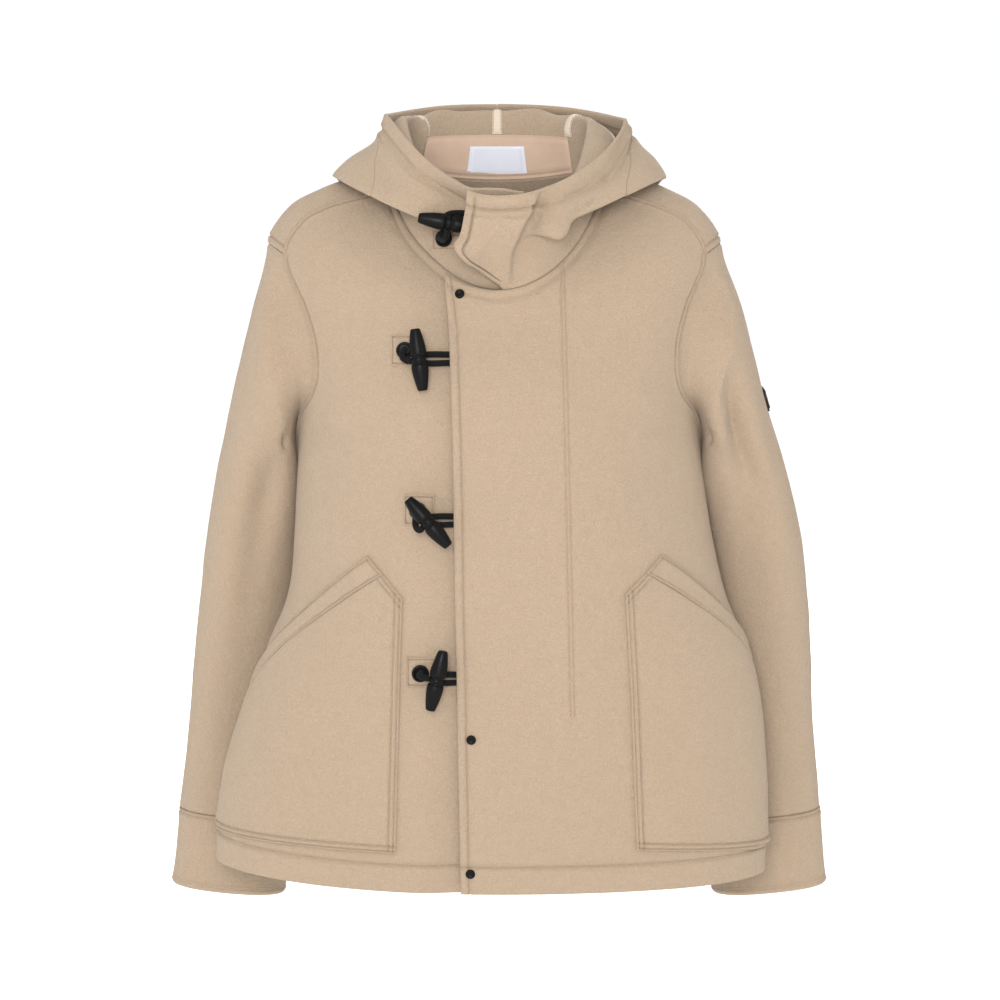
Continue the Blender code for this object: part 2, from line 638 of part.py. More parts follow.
def make_sleeve(side, name, wool):
    rows, inner_seam, angles = sleeve_rows(side)
    rings = [list(zip(rows[0], inner_seam))]
    for k in range(1, len(rows)):
        normals = row_normals(rows, k, side)
        rings.append([(p, p - n * CLOTH) for p, n in zip(rows[k], normals)])
    tube_wall(f"sleeve_{name}", rings, wool)

    gap = SEAM_GAP / (SLEEVE[CUFF_SEAM].outer_z - SLEEVE[CUFF_END].outer_z) * (CUFF_END - CUFF_SEAM)
    levels = levels_between(CUFF_SEAM + gap, 3, float(CUFF_END))
    cuff = [sleeve_ring(read_table(SLEEVE, v), angles, side) for v in levels]
    cuff_rings = []
    for k in range(len(cuff)):
        normals = row_normals(cuff, k, side)
        cuff_rings.append([(p, p - n * CLOTH) for p, n in zip(cuff[k], normals)])
    tube_wall(f"cuff_{name}", cuff_rings, wool)


# ---------------------------------------------------------------- hood
HOOD_LEVELS = levels_between(0.0, 3, 2.0, 6, 4.0, 2, 5.0, 7, 7.0, 4, float(HOOD_EDGE))
SIDE_RIGHT_COLUMNS, SIDE_LEFT_COLUMNS, HOOD_BACK_COLUMNS = 14, 16, 6
FACING_COLUMNS, LABEL_COLUMNS = 16, 6


def hood_seam(v):
    return read_table(HOOD_SEAM, v)


def collar_push(u, v):
    """The collar's right side goes down with the right front, and further to pass under the flap."""
    x = hood.point(u, v).x
    risen = ease(v / INNER_FOLD_ROW)
    depth = lerp(UNDERLAP_DEPTH, COLLAR_DEPTH, risen)
    depth = lerp(depth, COLLAR_RIM_DEPTH, ease((v - RIM_ROW) / (HOOD_EDGE - RIM_ROW)))
    edge = lerp(PLACKET_EDGE_TOP, COLLAR_DIP_END, risen)
    return -depth * ease((x - edge + UNDERLAP_SLOPE) / UNDERLAP_SLOPE)


def flap_push(u, v):
    """The throat flap stands off the collar, out to a slanted crease, and the roll ends in a lump."""
    place = hood.point(u, v)
    height = place.z - HOOD[0].z_front
    sewn = ease((place.x - FLAP_SEWN_X) / FLAP_SEWN_WIDTH)
    free = ease(height / lerp(FLAP_RAMP_FREE, FLAP_RAMP_SEWN, sewn))
    crease = lerp(CREASE_LOW, CREASE_TOP, height / (HOOD[-1].z_front - HOOD[0].z_front))
    flap = (FLAP_FRONT + place.y) * free * ease((crease + CREASE_WIDTH / 2.0 - place.x) / CREASE_WIDTH)
    away = ((place.x - LUMP_X) / LUMP_RADIUS) ** 2 + ((place.z - LUMP_Z) / LUMP_RADIUS) ** 2
    return flap + LUMP_LIFT * ease(1.0 - away)


def make_hood(wool):
    """Two side panels that end at the throat and two back panels with a seam between them."""

    def seam(v, side):
        """A panel's edge at the side seam: side is 1 in front of the seam and -1 behind it."""
        gap = lerp(FOLD_GAP, CURVED_GAP, ease(abs(v - LOW_FOLD_ROW)))
        return hood_seam(v) - side * hood.degrees(hood_seam(v), v, gap)

    def middle(v):
        return 180.0 - hood.degrees(180.0, v, HALF_GAP)

    panel(
        "hood_side_right", hood, HOOD_LEVELS, SIDE_RIGHT_COLUMNS, lambda v: -seam(v, 1),
        lambda v: hood.u_at_x(COLLAR_END, v), wool, push=collar_push,
    )
    panel(
        "hood_side_left", hood, HOOD_LEVELS, SIDE_LEFT_COLUMNS,
        lambda v: hood.u_at_x(read_table(FLAP_EDGE, v), v), lambda v: seam(v, 1), wool, push=flap_push,
    )
    panel("hood_back_left", hood, HOOD_LEVELS, HOOD_BACK_COLUMNS, lambda v: seam(v, -1), middle, wool)
    panel(
        "hood_back_right", hood, HOOD_LEVELS, HOOD_BACK_COLUMNS,
        lambda v: -middle(v), lambda v: -seam(v, -1), wool,
    )


def make_neck_facing(lining, white):
    """The smooth facing inside the back of the neck, and the blank label on it."""
    inside = -(CLOTH + FACING_TOUCH)
    panel(
        "neck_facing", hood, levels_between(FACING_LOW, 5, FACING_HIGH), FACING_COLUMNS, lambda v: FACING_SIDE,
        lambda v: 360.0 - FACING_SIDE, lining, lift=inside, thickness=LINING,
    )
    onto = inside - LINING - TOUCH
    panel(
        "neck_label", hood, levels_between(LABEL_LOW, 3, LABEL_HIGH), LABEL_COLUMNS,
        lambda v: 180.0 - hood.degrees(180.0, v, LABEL_HALF_WIDTH),
        lambda v: 180.0 + hood.degrees(180.0, v, LABEL_HALF_WIDTH),
        white, lift=onto, thickness=LABEL_CLOTH,
    )


# ---------------------------------------------------------------- pieces on the fronts
class Carrier:
    """The outer faces of finished cloth, which other pieces are laid on."""

    REACH = 0.06

    def __init__(self, *names):
        corners, faces = [], []
        for name in names:
            made = bpy.data.objects[name]
            first = len(corners)
            corners += [vertex.co.copy() for vertex in made.data.vertices]
            faces += [[first + k for k in face.vertices] for face in made.data.polygons]
        self.tree = BVHTree.FromPolygons(corners, faces)

    def seat(self, point, normal, height=0.0):
        """The place on the cloth's outer face along the normal through a point, moved out by height."""
        hit = self.tree.ray_cast(point + normal * self.REACH, -normal)[0]
        return (hit if hit else point) + normal * height

    def facing(self, point, normal):
        """The direction that the cloth faces there."""
        found = self.tree.ray_cast(point + normal * self.REACH, -normal)[1]
        return found if found else normal

    def rest(self, point, up, radius):
        """Where the flat back of a round thing rests on the cloth at a point, with its axis along up."""
        side = up.orthogonal().normalized() * radius
        turns = [Matrix.Rotation(math.tau * k / 12, 3, up) for k in range(12)]
        spots = [self.seat(point + turn @ side, up) for turn in turns] + [self.seat(point, up)]
        return point + up * (max((spot - point).dot(up) for spot in spots) + TOUCH)


def box_planes(low, high):
    """The six faces of a box, as planes for a laid piece."""
    planes = []
    for k in range(3):
        out = Vector([1.0 if n == k else 0.0 for n in range(3)])
        planes += [(Vector(high), out), (Vector(low), -out)]
    return planes


def edge_plane(start, end, inside, gap=0.0):
    """The plane through two places on the body, square to the cloth midway between them. It faces
    away from the place inside, and lies half a seam's gap nearer to it than the two."""
    middle = torso.normal((start[0] + end[0]) / 2.0, (start[1] + end[1]) / 2.0)
    first, last = torso.point(*start), torso.point(*end)
    out = (last - first).cross(middle).normalized()
    if out.dot(torso.point(*inside) - first) > 0.0:
        out = -out
    return first - out * gap, out


def make_pocket(pocket, wool):
    """A patch pocket with a slanted opening, and the welt that is sewn along the opening."""

    def at_front(x, z):
        return torso.find_front(x, z, 0.0, float(ARMPIT))

    def at_side(z):
        return pocket.side_u, torso.v_at_z(pocket.side_u, z, 0.0, float(ARMPIT))

    low, bend = at_front(pocket.low_x, pocket.low_z), at_front(pocket.bend_x, pocket.bend_z)
    mouth, top = at_front(pocket.welt_x, pocket.welt_z), at_front(pocket.top_x, pocket.top_z)
    side_low, side_mouth, side_top = (at_side(z) for z in (pocket.side_low, pocket.side_welt, pocket.side_top))
    middle = at_front(lerp(pocket.low_x, pocket.side_x, 0.5), lerp(pocket.low_z, pocket.bend_z, 0.5))
    carrier = f"front_{pocket.side}"
    bag = [
        edge_plane(low, side_low, middle),
        edge_plane(low, bend, middle),
        edge_plane(bend, mouth, middle),
        edge_plane(mouth, side_mouth, middle, HALF_GAP),
    ]
    laid_piece(f"pocket_{pocket.side}", carrier, bag, CLOTH, wool)
    on_welt = tuple((a + b) / 2.0 for a, b in zip(mouth, side_top))
    welt = [
        edge_plane(mouth, side_mouth, on_welt, HALF_GAP),
        edge_plane(top, side_top, on_welt),
        edge_plane(mouth, top, on_welt),
    ]
    laid_piece(f"welt_{pocket.side}", carrier, welt, CLOTH, wool)


def turned(name, profile, surface_material, steps=16):
    """A solid turned round its Z axis from (radius, height) pairs that start and end on the axis."""
    mesh = bpy.data.meshes.new(name)
    build = bmesh.new()
    line = [build.verts.new((radius, 0.0, height)) for radius, height in profile]
    for start, end in zip(line, line[1:]):
        build.edges.new((start, end))
    bmesh.ops.spin(
        build, geom=build.verts[:] + build.edges[:], axis=(0, 0, 1), cent=(0, 0, 0),
        angle=math.tau, steps=steps, use_merge=True,
    )
    bmesh.ops.remove_doubles(build, verts=build.verts[:], dist=1e-6)
    bmesh.ops.recalc_face_normals(build, faces=build.faces)
    build.to_mesh(mesh)
    build.free()
    return add_mesh(name, mesh, surface_material)


def stand_on(made, place, up):
    """Put a turned solid at a place with its axis along up."""
    made.matrix_world = Matrix.Translation(place) @ up.to_track_quat("Z", "Y").to_matrix().to_4x4()


def cord(name, path, surface_material):
    """A round cord through the points of its path."""
    curve = bpy.data.curves.new(name, "CURVE")
    curve.dimensions = "3D"
    curve.bevel_depth = CORD_RADIUS
    curve.bevel_resolution = 1
    curve.use_fill_caps = True
    curve.resolution_u = 3
    curve.materials.append(surface_material)
    spline = curve.splines.new("BEZIER")
    spline.bezier_points.add(len(path) - 1)
    for knot, point in zip(spline.bezier_points, path):
        knot.co = point
        knot.handle_left_type = knot.handle_right_type = "AUTO"
    made = bpy.data.objects.new(name, curve)
    jacket.objects.link(made)
    return made


TOGGLE_PROFILE = (  # (radius, distance from the middle) of one half
    (TOGGLE_WAIST_RADIUS, 0.0),
    (TOGGLE_WAIST_RADIUS, 0.0034),
    (TOGGLE_RADIUS, 0.0048),
    (TOGGLE_RADIUS, 0.0095),
    (TOGGLE_RADIUS * 0.93, 0.0150),
    (TOGGLE_END_RADIUS * 1.25, TOGGLE_LENGTH / 2 - 0.0060),
    (TOGGLE_END_RADIUS, TOGGLE_LENGTH / 2 - 0.0012),
    (TOGGLE_END_RADIUS * 0.72, TOGGLE_LENGTH / 2),
    (0.0, TOGGLE_LENGTH / 2),
)
BUTTON_PROFILE = (
    (0.0, 0.0),
    (BUTTON_RADIUS - 0.0006, 0.0),
    (BUTTON_RADIUS, 0.0006),
    (BUTTON_RADIUS, BUTTON_THICKNESS - 0.0010),
    (BUTTON_RADIUS - 0.0012, BUTTON_THICKNESS),
    (0.0, BUTTON_THICKNESS),
)
SNAP_PROFILE = (
    (0.0, 0.0),
    (SNAP_RADIUS, 0.0),
    (SNAP_RADIUS, SNAP_HEIGHT * 0.45),
    (SNAP_RADIUS * 0.75, SNAP_HEIGHT * 0.90),
    (0.0, SNAP_HEIGHT),
)


def make_toggle(toggle, wool, black):
    """The square patch, the button on it, the toggle over the loop and the loop's cord."""
    on_collar = toggle.name == "throat"
    carrier_name = "hood_side_right" if on_collar else "front_right"
    carrier = Carrier(carrier_name)
    surface = hood if on_collar else torso

    def spot(x, z):
        return surface.find_front(x, z, 0.0, surface.end)

    def place(x, z, height):
        u, v = spot(x, z)
        return carrier.seat(surface.point(u, v), outward(u), height)

    low = (toggle.patch_x, -1.0, toggle.patch_z)
    high = (toggle.patch_x + PATCH_WIDTH, 0.0, toggle.patch_z + toggle.patch_height)
    laid_piece(f"patch_{toggle.name}", carrier_name, box_planes(low, high), PATCH_CLOTH, wool)

    u, v = spot(toggle.button_x, toggle.button_z)
    up = carrier.facing(surface.point(u, v), outward(u))
    patched = Carrier(f"patch_{toggle.name}", carrier_name)
    seat = patched.rest(place(toggle.button_x, toggle.button_z, 0.0), up, BUTTON_RADIUS)
    stand_on(turned(f"button_{toggle.name}", BUTTON_PROFILE, black), seat, up)

    axis_height = 2.0 * TOUCH + PATCH_CLOTH + 2.0 * CORD_RADIUS + TOGGLE_LIFT + TOGGLE_RADIUS + toggle.raised
    u, v = spot(toggle.x, toggle.z)
    out = outward(u)
    lean = math.radians(toggle.lean)
    along = Vector((math.sin(lean), 0.0, -math.cos(lean)))
    along = (along - out * along.dot(out)).normalized()
    tilt = math.atan2(toggle.tucked, TOGGLE_LENGTH / 2.0)
    along = along * math.cos(tilt) - out * math.sin(tilt)
    whole = [(radius, -height) for radius, height in reversed(TOGGLE_PROFILE)] + list(TOGGLE_PROFILE[1:])
    middle = place(toggle.x, toggle.z, axis_height)
    stand_on(turned(f"toggle_{toggle.name}", whole, black), middle, along)

    aside = along.cross(out).normalized()
    aside = aside if aside.x < 0.0 else -aside
    top = seat + up * (BUTTON_THICKNESS + SEAM_GAP)
    waist = middle + aside * (TOGGLE_WAIST_RADIUS + SEAM_GAP)
    bend = (top + up * TIE_ARCH).lerp(waist + aside * TIE_REACH, 0.6)
    cord(f"tie_{toggle.name}", [top, top + up * TIE_RISE, bend, waist + aside * TIE_END, waist], black)

    edge = read_table(FLAP_EDGE, v) if on_collar else placket_x(v)
    low = TOUCH + CORD_RADIUS + LOOP_CLEARANCE
    over_patch = low if on_collar else 2.0 * TOUCH + PATCH_CLOTH + CORD_RADIUS + LOOP_CLEARANCE
    strand = [  # (x, share of the loop's half width, height)
        (edge + toggle.tuck, 0.9, low),
        (edge - LOOP_EDGE, 0.95, low),
        (toggle.x + LOOP_BEND, 1.0, over_patch),
        (toggle.x - LOOP_CLOSE, 0.8, over_patch),
    ]
    half, level = LOOP_WIDTH / 2.0, toggle.z + toggle.loop_up
    upper = [place(x, level + share * half, height) for x, share, height in strand]
    lower = [place(x, level - share * half, height) for x, share, height in reversed(strand)]
    turn = place(toggle.x - LOOP_TURN, level, over_patch)
    cord(f"loop_{toggle.name}", upper + [turn] + lower, black)


# ---------------------------------------------------------------- build
def clear_scene():
    for old in list(bpy.data.objects):
        bpy.data.objects.remove(old)


clear_scene()
jacket = bpy.data.collections.new("duffle_jacket")
bpy.context.scene.collection.children.link(jacket)
wool = material("wool", BEIGE, 0.95)
lining = material("neck_facing", BEIGE_LINING, 0.85)
black = material("black", BLACK, 0.45)
white = material("label", WHITE, 0.7)
make_fronts(wool)
make_back(wool)
for side, side_name in ((-1, "right"), (1, "left")):
    make_sleeve(side, side_name, wool)
make_hood(wool)
make_neck_facing(lining, white)
for pocket in POCKETS:
    make_pocket(pocket, wool)
for toggle in TOGGLES:
    make_toggle(toggle, wool, black)
laid_piece("sleeve_tab", "sleeve_left", box_planes(*TAB_BOX), TAB_CLOTH, black)
for snap_name, snap_x, snap_z in SNAPS:
    u, v = torso.find_front(snap_x, snap_z, 0.0, torso.end)
    up = torso.normal(u, v)
    snap = turned(f"snap_{snap_name}", SNAP_PROFILE, black, steps=12)
    stand_on(snap, Carrier("front_left").rest(torso.point(u, v), up, SNAP_RADIUS), up)
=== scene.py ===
"""The looks of a hooded duffle jacket of thick wool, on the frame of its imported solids.

Units are metres, +Z is up and the jacket faces -Y, so the wearer's right side is at -X. The cloth
lies on the same ringed surfaces as the solids. A place on one is (u, v): u is the angle in degrees
round a ring, 0 at the front and positive towards the wearer's left, and v is the ring's number.
"""

import math

import bmesh
import bpy
import numpy as np
from mathutils import Matrix, Vector, noise
from mathutils.bvhtree import BVHTree


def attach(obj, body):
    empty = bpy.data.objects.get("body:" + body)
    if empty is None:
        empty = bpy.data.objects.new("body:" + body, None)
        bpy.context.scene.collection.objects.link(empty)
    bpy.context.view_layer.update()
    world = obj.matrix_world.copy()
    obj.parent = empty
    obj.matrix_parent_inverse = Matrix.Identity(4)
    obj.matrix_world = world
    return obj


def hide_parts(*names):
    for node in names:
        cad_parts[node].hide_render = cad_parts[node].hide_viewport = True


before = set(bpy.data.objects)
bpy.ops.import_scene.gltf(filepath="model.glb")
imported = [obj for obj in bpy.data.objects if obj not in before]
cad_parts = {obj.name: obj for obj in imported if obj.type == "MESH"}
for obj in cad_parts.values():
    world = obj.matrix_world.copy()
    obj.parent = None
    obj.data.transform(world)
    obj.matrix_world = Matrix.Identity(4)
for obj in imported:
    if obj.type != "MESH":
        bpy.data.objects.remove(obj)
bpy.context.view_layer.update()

# ---------------------------------------------------------------- camera
TARGET = Vector((0.003, 0.0, -0.312))
DISTANCE = 3.6
ELEVATION = math.radians(6.0)
VIEW_WIDTH = 1.02  # of the picture, at the target
SENSOR = 36.0

camera_data = bpy.data.cameras.new("camera")
camera_data.sensor_width = SENSOR
camera_data.lens = SENSOR * DISTANCE / VIEW_WIDTH
camera = bpy.data.objects.new("camera", camera_data)
camera.location = TARGET + DISTANCE * Vector((0.0, -math.cos(ELEVATION), math.sin(ELEVATION)))
camera.rotation_euler = (math.radians(90.0) - ELEVATION, 0.0, 0.0)
bpy.context.scene.collection.objects.link(camera)
bpy.context.scene.camera = camera

# ---------------------------------------------------------------- sizes shared with the solids
CLOTH = 0.003
CURVED_GAP = 0.0012  # between a sleeve's inner side and the armhole's
HALF_GAP, MIDDLE_GAP = 0.00005, 0.00002  # half of the gap at a seam, and at the hood's middle seam
SEAM_GAP = 0.0003
FACING_DEPTH = 0.0038  # from the hood's outside to the facing's
PATCH_CLOTH = 0.0015
TOUCH = 0.0004  # between pieces that lie on each other

PLACKET_EDGE_TOP, PLACKET_EDGE_HEM = -0.052, -0.036
UNDERLAP_END, UNDERLAP_DEPTH, UNDERLAP_SLOPE = 0.030, 0.0095, 0.045
FLAP_FRONT, FLAP_RAMP_FREE, FLAP_RAMP_SEWN = 0.134, 0.022, 0.085
FLAP_SEWN_X, FLAP_SEWN_WIDTH = -0.030, 0.040
FLAP_CURL, FLAP_CURL_WIDTH, FLAP_CURL_ROWS, FLAP_CURL_END = 0.0030, 0.020, 0.6, 3.6
# The flap's crease: its x at heights above the neck, its widths, and the trough beside it.
CREASE_HEIGHTS, CREASE_PLACES = (0.008, 0.0355, 0.058, 0.087), (0.0135, 0.0155, 0.0255, 0.0380)
CREASE_WIDTH, CREASE_RIM_WIDTH, CREASE_RIM_ROW, CREASE_RIM_ROWS = 0.007, 0.034, 8.3, 1.4
CREASE_DIP, CREASE_STEEP, CREASE_SLACK, CREASE_FADE, CREASE_END = 0.0045, 0.006, 0.022, 0.016, 9.8
# The end of the hood's roll hangs down beside the flap, with a lump in front.
SAG_X, SAG_LEFT, SAG_RIGHT, SAG_DROP, SAG_PUSH = 0.0575, 0.015, 0.0120, 0.0125, 0.007
SAG_ROW, SAG_ROWS, SAG_END, SAG_END_ROWS = 3.5, 1.1, 8.5, 2.5
LUMP_X, LUMP_Z, LUMP_RADIUS, LUMP_LIFT = 0.054, -0.036, 0.024, 0.006
# The under layer at the throat.
COLLAR_DEPTH, COLLAR_RIM_DEPTH, COLLAR_DIP_END, COLLAR_END = 0.020, 0.006, -0.039, 0.028
COLLAR_RISE, COLLAR_RISE_ROW, COLLAR_RISE_ROWS = 0.006, 7.5, 2.0
COLLAR_RISE_LOW_X, COLLAR_RISE_HIGH_X, COLLAR_RISE_WIDTH = -0.036, COLLAR_END + 0.004, 0.03
# Beside the throat the cloth goes in under the hood's roll; the angles are from the front.
ROLL_RECESS, ROLL_ROW, ROLL_ROWS = 0.010, 4.1, 1.0
ROLL_START, ROLL_START_RAMP, ROLL_END, ROLL_END_RAMP = 23.0, 12.0, 62.0, 14.0
SEWN_ROWS = 0.35  # how far from the neck seam the normals turn to the shared one
NECK_STEP = 0.0015  # between the solids there
# The inner fold's waves: height, rows, how many of each kind round the neck, and their mix.
FOLD_WAVE, FOLD_WAVE_ROWS, FOLD_WAVES, FOLD_PHASE, FOLD_SHARE = 0.0016, 0.8, (7.0, 12.0), 0.6, 0.6
FOLD_FRONT = 0.2  # the cosine of the angle where they end in front

RING = (
    "right left front back z_front z_right z_left z_back "
    "fall_right fall_left fall_back square_front square_back"
).split()
TORSO = np.array((
    (0.290, 0.276, 0.124, 0.080, -0.695, -0.681, -0.693, -0.697, 2.0, 2.0, 2.0, 2.20, 2.20),  # 0 hem
    (0.286, 0.276, 0.126, 0.082, -0.650, -0.640, -0.650, -0.650, 2.0, 2.0, 2.0, 2.20, 2.20),
    (0.276, 0.274, 0.130, 0.086, -0.585, -0.580, -0.585, -0.585, 2.0, 2.0, 2.0, 2.18, 2.18),
    (0.257, 0.268, 0.135, 0.091, -0.520, -0.520, -0.520, -0.520, 2.0, 2.0, 2.0, 2.15, 2.15),
    (0.234, 0.254, 0.140, 0.097, -0.458, -0.458, -0.458, -0.458, 2.0, 2.0, 2.0, 2.12, 2.12),
    (0.213, 0.233, 0.144, 0.104, -0.405, -0.405, -0.405, -0.405, 2.0, 2.0, 2.0, 2.10, 2.10),
    (0.206, 0.216, 0.148, 0.111, -0.330, -0.330, -0.330, -0.330, 2.0, 2.0, 2.0, 2.06, 2.06),
    (0.203, 0.207, 0.150, 0.118, -0.252, -0.250, -0.250, -0.250, 2.0, 2.0, 2.0, 2.02, 2.02),  # 7 armpit
    (0.206, 0.207, 0.148, 0.120, -0.212, -0.198, -0.198, -0.208, 2.2, 2.2, 2.0, 2.00, 2.00),
    (0.212, 0.211, 0.141, 0.119, -0.181, -0.147, -0.147, -0.166, 2.2, 2.2, 2.0, 2.00, 2.00),
    (0.221, 0.218, 0.130, 0.116, -0.154, -0.099, -0.099, -0.126, 2.2, 2.2, 2.0, 2.00, 2.00),
    (0.232, 0.227, 0.121, 0.111, -0.132, -0.050, -0.050, -0.090, 2.2, 2.2, 2.0, 2.00, 2.00),  # 11 tip
    (0.210, 0.205, 0.118, 0.106, -0.122, -0.014, -0.015, -0.064, 2.0, 2.0, 1.9, 2.00, 2.00),
    (0.179, 0.175, 0.116, 0.099, -0.113, 0.004, 0.003, -0.038, 1.7, 1.7, 1.8, 2.00, 2.00),
    (0.144, 0.142, 0.114, 0.089, -0.105, 0.017, 0.017, -0.012, 1.4, 1.4, 1.7, 2.00, 2.00),
    (0.108, 0.107, 0.111, 0.077, -0.093, 0.028, 0.028, 0.010, 1.15, 1.15, 1.6, 2.00, 2.00),  # 15 neck
))
ARMPIT, TIP, NECK = 7.0, 11.0, 15.0
ARMHOLE = np.array(((90.0, 90.0), (66.0, 114.0), (60.0, 121.0), (62.0, 119.0), (67.5, 112.0)))  # front, back
YOKE_SEAM_NECK = 77.0
HOOD = np.array((
    (0.108, 0.107, 0.111, 0.077, -0.0915, 0.0295, 0.0295, 0.0112, 1.15, 1.15, 1.6, 2.0, 2.0),  # 0 neck
    (0.101, 0.101, 0.114, 0.080, -0.077, 0.046, 0.046, 0.044, 1.2, 1.2, 1.6, 2.0, 2.1),
    (0.095, 0.095, 0.117, 0.088, -0.064, 0.064, 0.062, 0.070, 1.4, 1.3, 1.6, 2.0, 2.2),
    (0.095, 0.095, 0.119, 0.101, -0.053, 0.073, 0.071, 0.079, 1.8, 1.4, 1.6, 2.0, 2.3),  # 3 inner fold
    (0.114, 0.117, 0.121, 0.122, -0.046, 0.056, 0.054, 0.030, 2.0, 1.8, 1.8, 2.0, 2.2),
    (0.140, 0.143, 0.122, 0.140, -0.041, 0.0240, 0.0230, -0.100, 2.2, 2.2, 2.2, 2.0, 2.0),
    (0.166, 0.170, 0.124, 0.156, -0.034, 0.0170, 0.0150, -0.190, 2.4, 2.7, 2.4, 2.0, 2.0),  # 6 lowest
    (0.151, 0.160, 0.126, 0.172, -0.026, 0.0340, 0.0340, -0.155, 2.4, 2.3, 2.2, 2.0, 2.0),
    (0.125, 0.142, 0.127, 0.170, -0.017, 0.051, 0.051, -0.040, 2.4, 1.9, 2.0, 2.0, 2.1),
    (0.117, 0.135, 0.128, 0.148, -0.009, 0.067, 0.066, 0.048, 2.4, 1.7, 2.0, 2.0, 2.3),
    (0.114, 0.131, 0.129, 0.124, 0.000, 0.080, 0.076, 0.091, 2.3, 1.5, 2.2, 2.0, 2.6),  # 10 front edge
))
INNER_FOLD_ROW, RIM_ROW, HOOD_EDGE = 3.0, 8.0, 10.0
HOOD_SEAM = np.array((128.0, 130.0, 130.0, 118.0, 84.0, 56.0, 49.0, 54.0, 72.0, 95.0, 108.0))
FLAP_EDGE = np.array(
    (0.006, -0.0145, -0.0318, -0.0305, -0.0315, -0.0325, -0.0320, -0.0306, -0.0285, -0.0277, -0.0271)
)
SLEEVE = np.array((
    # outer_x outer_y outer_z inner_x inner_y inner_z depth left_out
    (0.2490, 0.014, -0.118, 0.2100, 0.014, -0.2560, 0.084, 0.000),
    (0.2620, 0.022, -0.172, 0.2070, 0.030, -0.2740, 0.085, 0.001),
    (0.2740, 0.031, -0.220, 0.2030, 0.047, -0.3000, 0.082, 0.003),
    (0.2860, 0.042, -0.272, 0.1990, 0.066, -0.3350, 0.077, 0.009),
    (0.2980, 0.056, -0.340, 0.1970, 0.085, -0.3850, 0.072, 0.014),
    (0.3080, 0.070, -0.410, 0.1990, 0.100, -0.4430, 0.067, 0.014),
    (0.3160, 0.083, -0.480, 0.2050, 0.110, -0.5040, 0.062, 0.012),
    (0.3230, 0.091, -0.545, 0.2110, 0.112, -0.5620, 0.057, 0.009),
    (0.3290, 0.093, -0.600, 0.2170, 0.107, -0.6140, 0.053, 0.007),
    (0.3350, 0.093, -0.645, 0.2210, 0.103, -0.6560, 0.049, 0.005),
    (0.3390, 0.092, -0.690, 0.2230, 0.100, -0.7010, 0.046, 0.005),
    (0.3440, 0.092, -0.725, 0.2240, 0.098, -0.7380, 0.045, 0.004),
))
CUFF_SEAM, CUFF_END = 9.0, 11.0
POCKETS = {  # x and z of the front corners, then the angle and heights at the side seam
    "right": dict(low=(-0.1008, -0.6534), bend=(-0.0927, -0.3958), top=(-0.1267, -0.3557), mouth=(-0.1117, -0.3730),
                  side_u=-90.0, side_top=-0.4870, side_mouth=-0.5100, side_low=-0.6480),
    "left": dict(low=(0.1395, -0.6514), bend=(0.1263, -0.3928), top=(0.1630, -0.3557), mouth=(0.1469, -0.3730),
                 side_u=90.0, side_top=-0.4560, side_mouth=-0.4820, side_low=-0.6655),
}
PATCHES = {  # low x, low z, height, carrier
    "throat": (-0.0640, -0.0550, 0.018, "hood_side_right"),
    "chest": (-0.1040, -0.1670, 0.030, "front_right"),
    "waist": (-0.0912, -0.3225, 0.030, "front_right"),
    "hip": (-0.0893, -0.4840, 0.030, "front_right"),
}
PATCH_WIDTH = 0.030
TAB = ((0.008, -0.222), (0.052, -0.198))  # low and high (y, z) of the plain tab on the left sleeve
TAB_CLOTH = 0.002
FACING_LOW, FACING_HIGH, FACING_SIDE = 0.12, 1.45, 132.0
LABEL_LOW, LABEL_HIGH, LABEL_HALF_WIDTH = 0.28, 1.05, 0.0335


# ---------------------------------------------------------------- surfaces
def lerp(a, b, t):
    return a + (b - a) * t


def ease(t):
    t = np.clip(t, 0.0, 1.0)
    return t * t * (3.0 - 2.0 * t)


def rows(table, v):
    """The table's rows at v, between rows too, on a Catmull-Rom curve."""
    last = len(table) - 1
    v = np.clip(v, 0.0, last)
    low = np.minimum(v.astype(int), last - 1)
    t = v - low
    if table.ndim > 1:
        t = t[..., None]
    a, b, c, d = (table[np.clip(low + k, 0, last)] for k in (-1, 0, 1, 2))
    return 0.5 * (2 * b + (c - a) * t + (2 * a - 5 * b + 4 * c - d) * t * t + (3 * b - a - 3 * c + d) * t**3)


def bell(value, middle, width):
    """1 at the middle, falling softly to 0 on both sides."""
    return np.exp(-(((value - middle) / width) ** 2))


def signed_power(value, power):
    return np.sign(value) * np.abs(value) ** power


def unit(vectors):
    return vectors / np.maximum(np.linalg.norm(vectors, axis=-1, keepdims=True), 1e-12)


def outward(u):
    """The level direction away from the wearer at each angle."""
    return np.stack((np.sin(np.radians(u)), -np.cos(np.radians(u)), np.zeros_like(u)), -1)


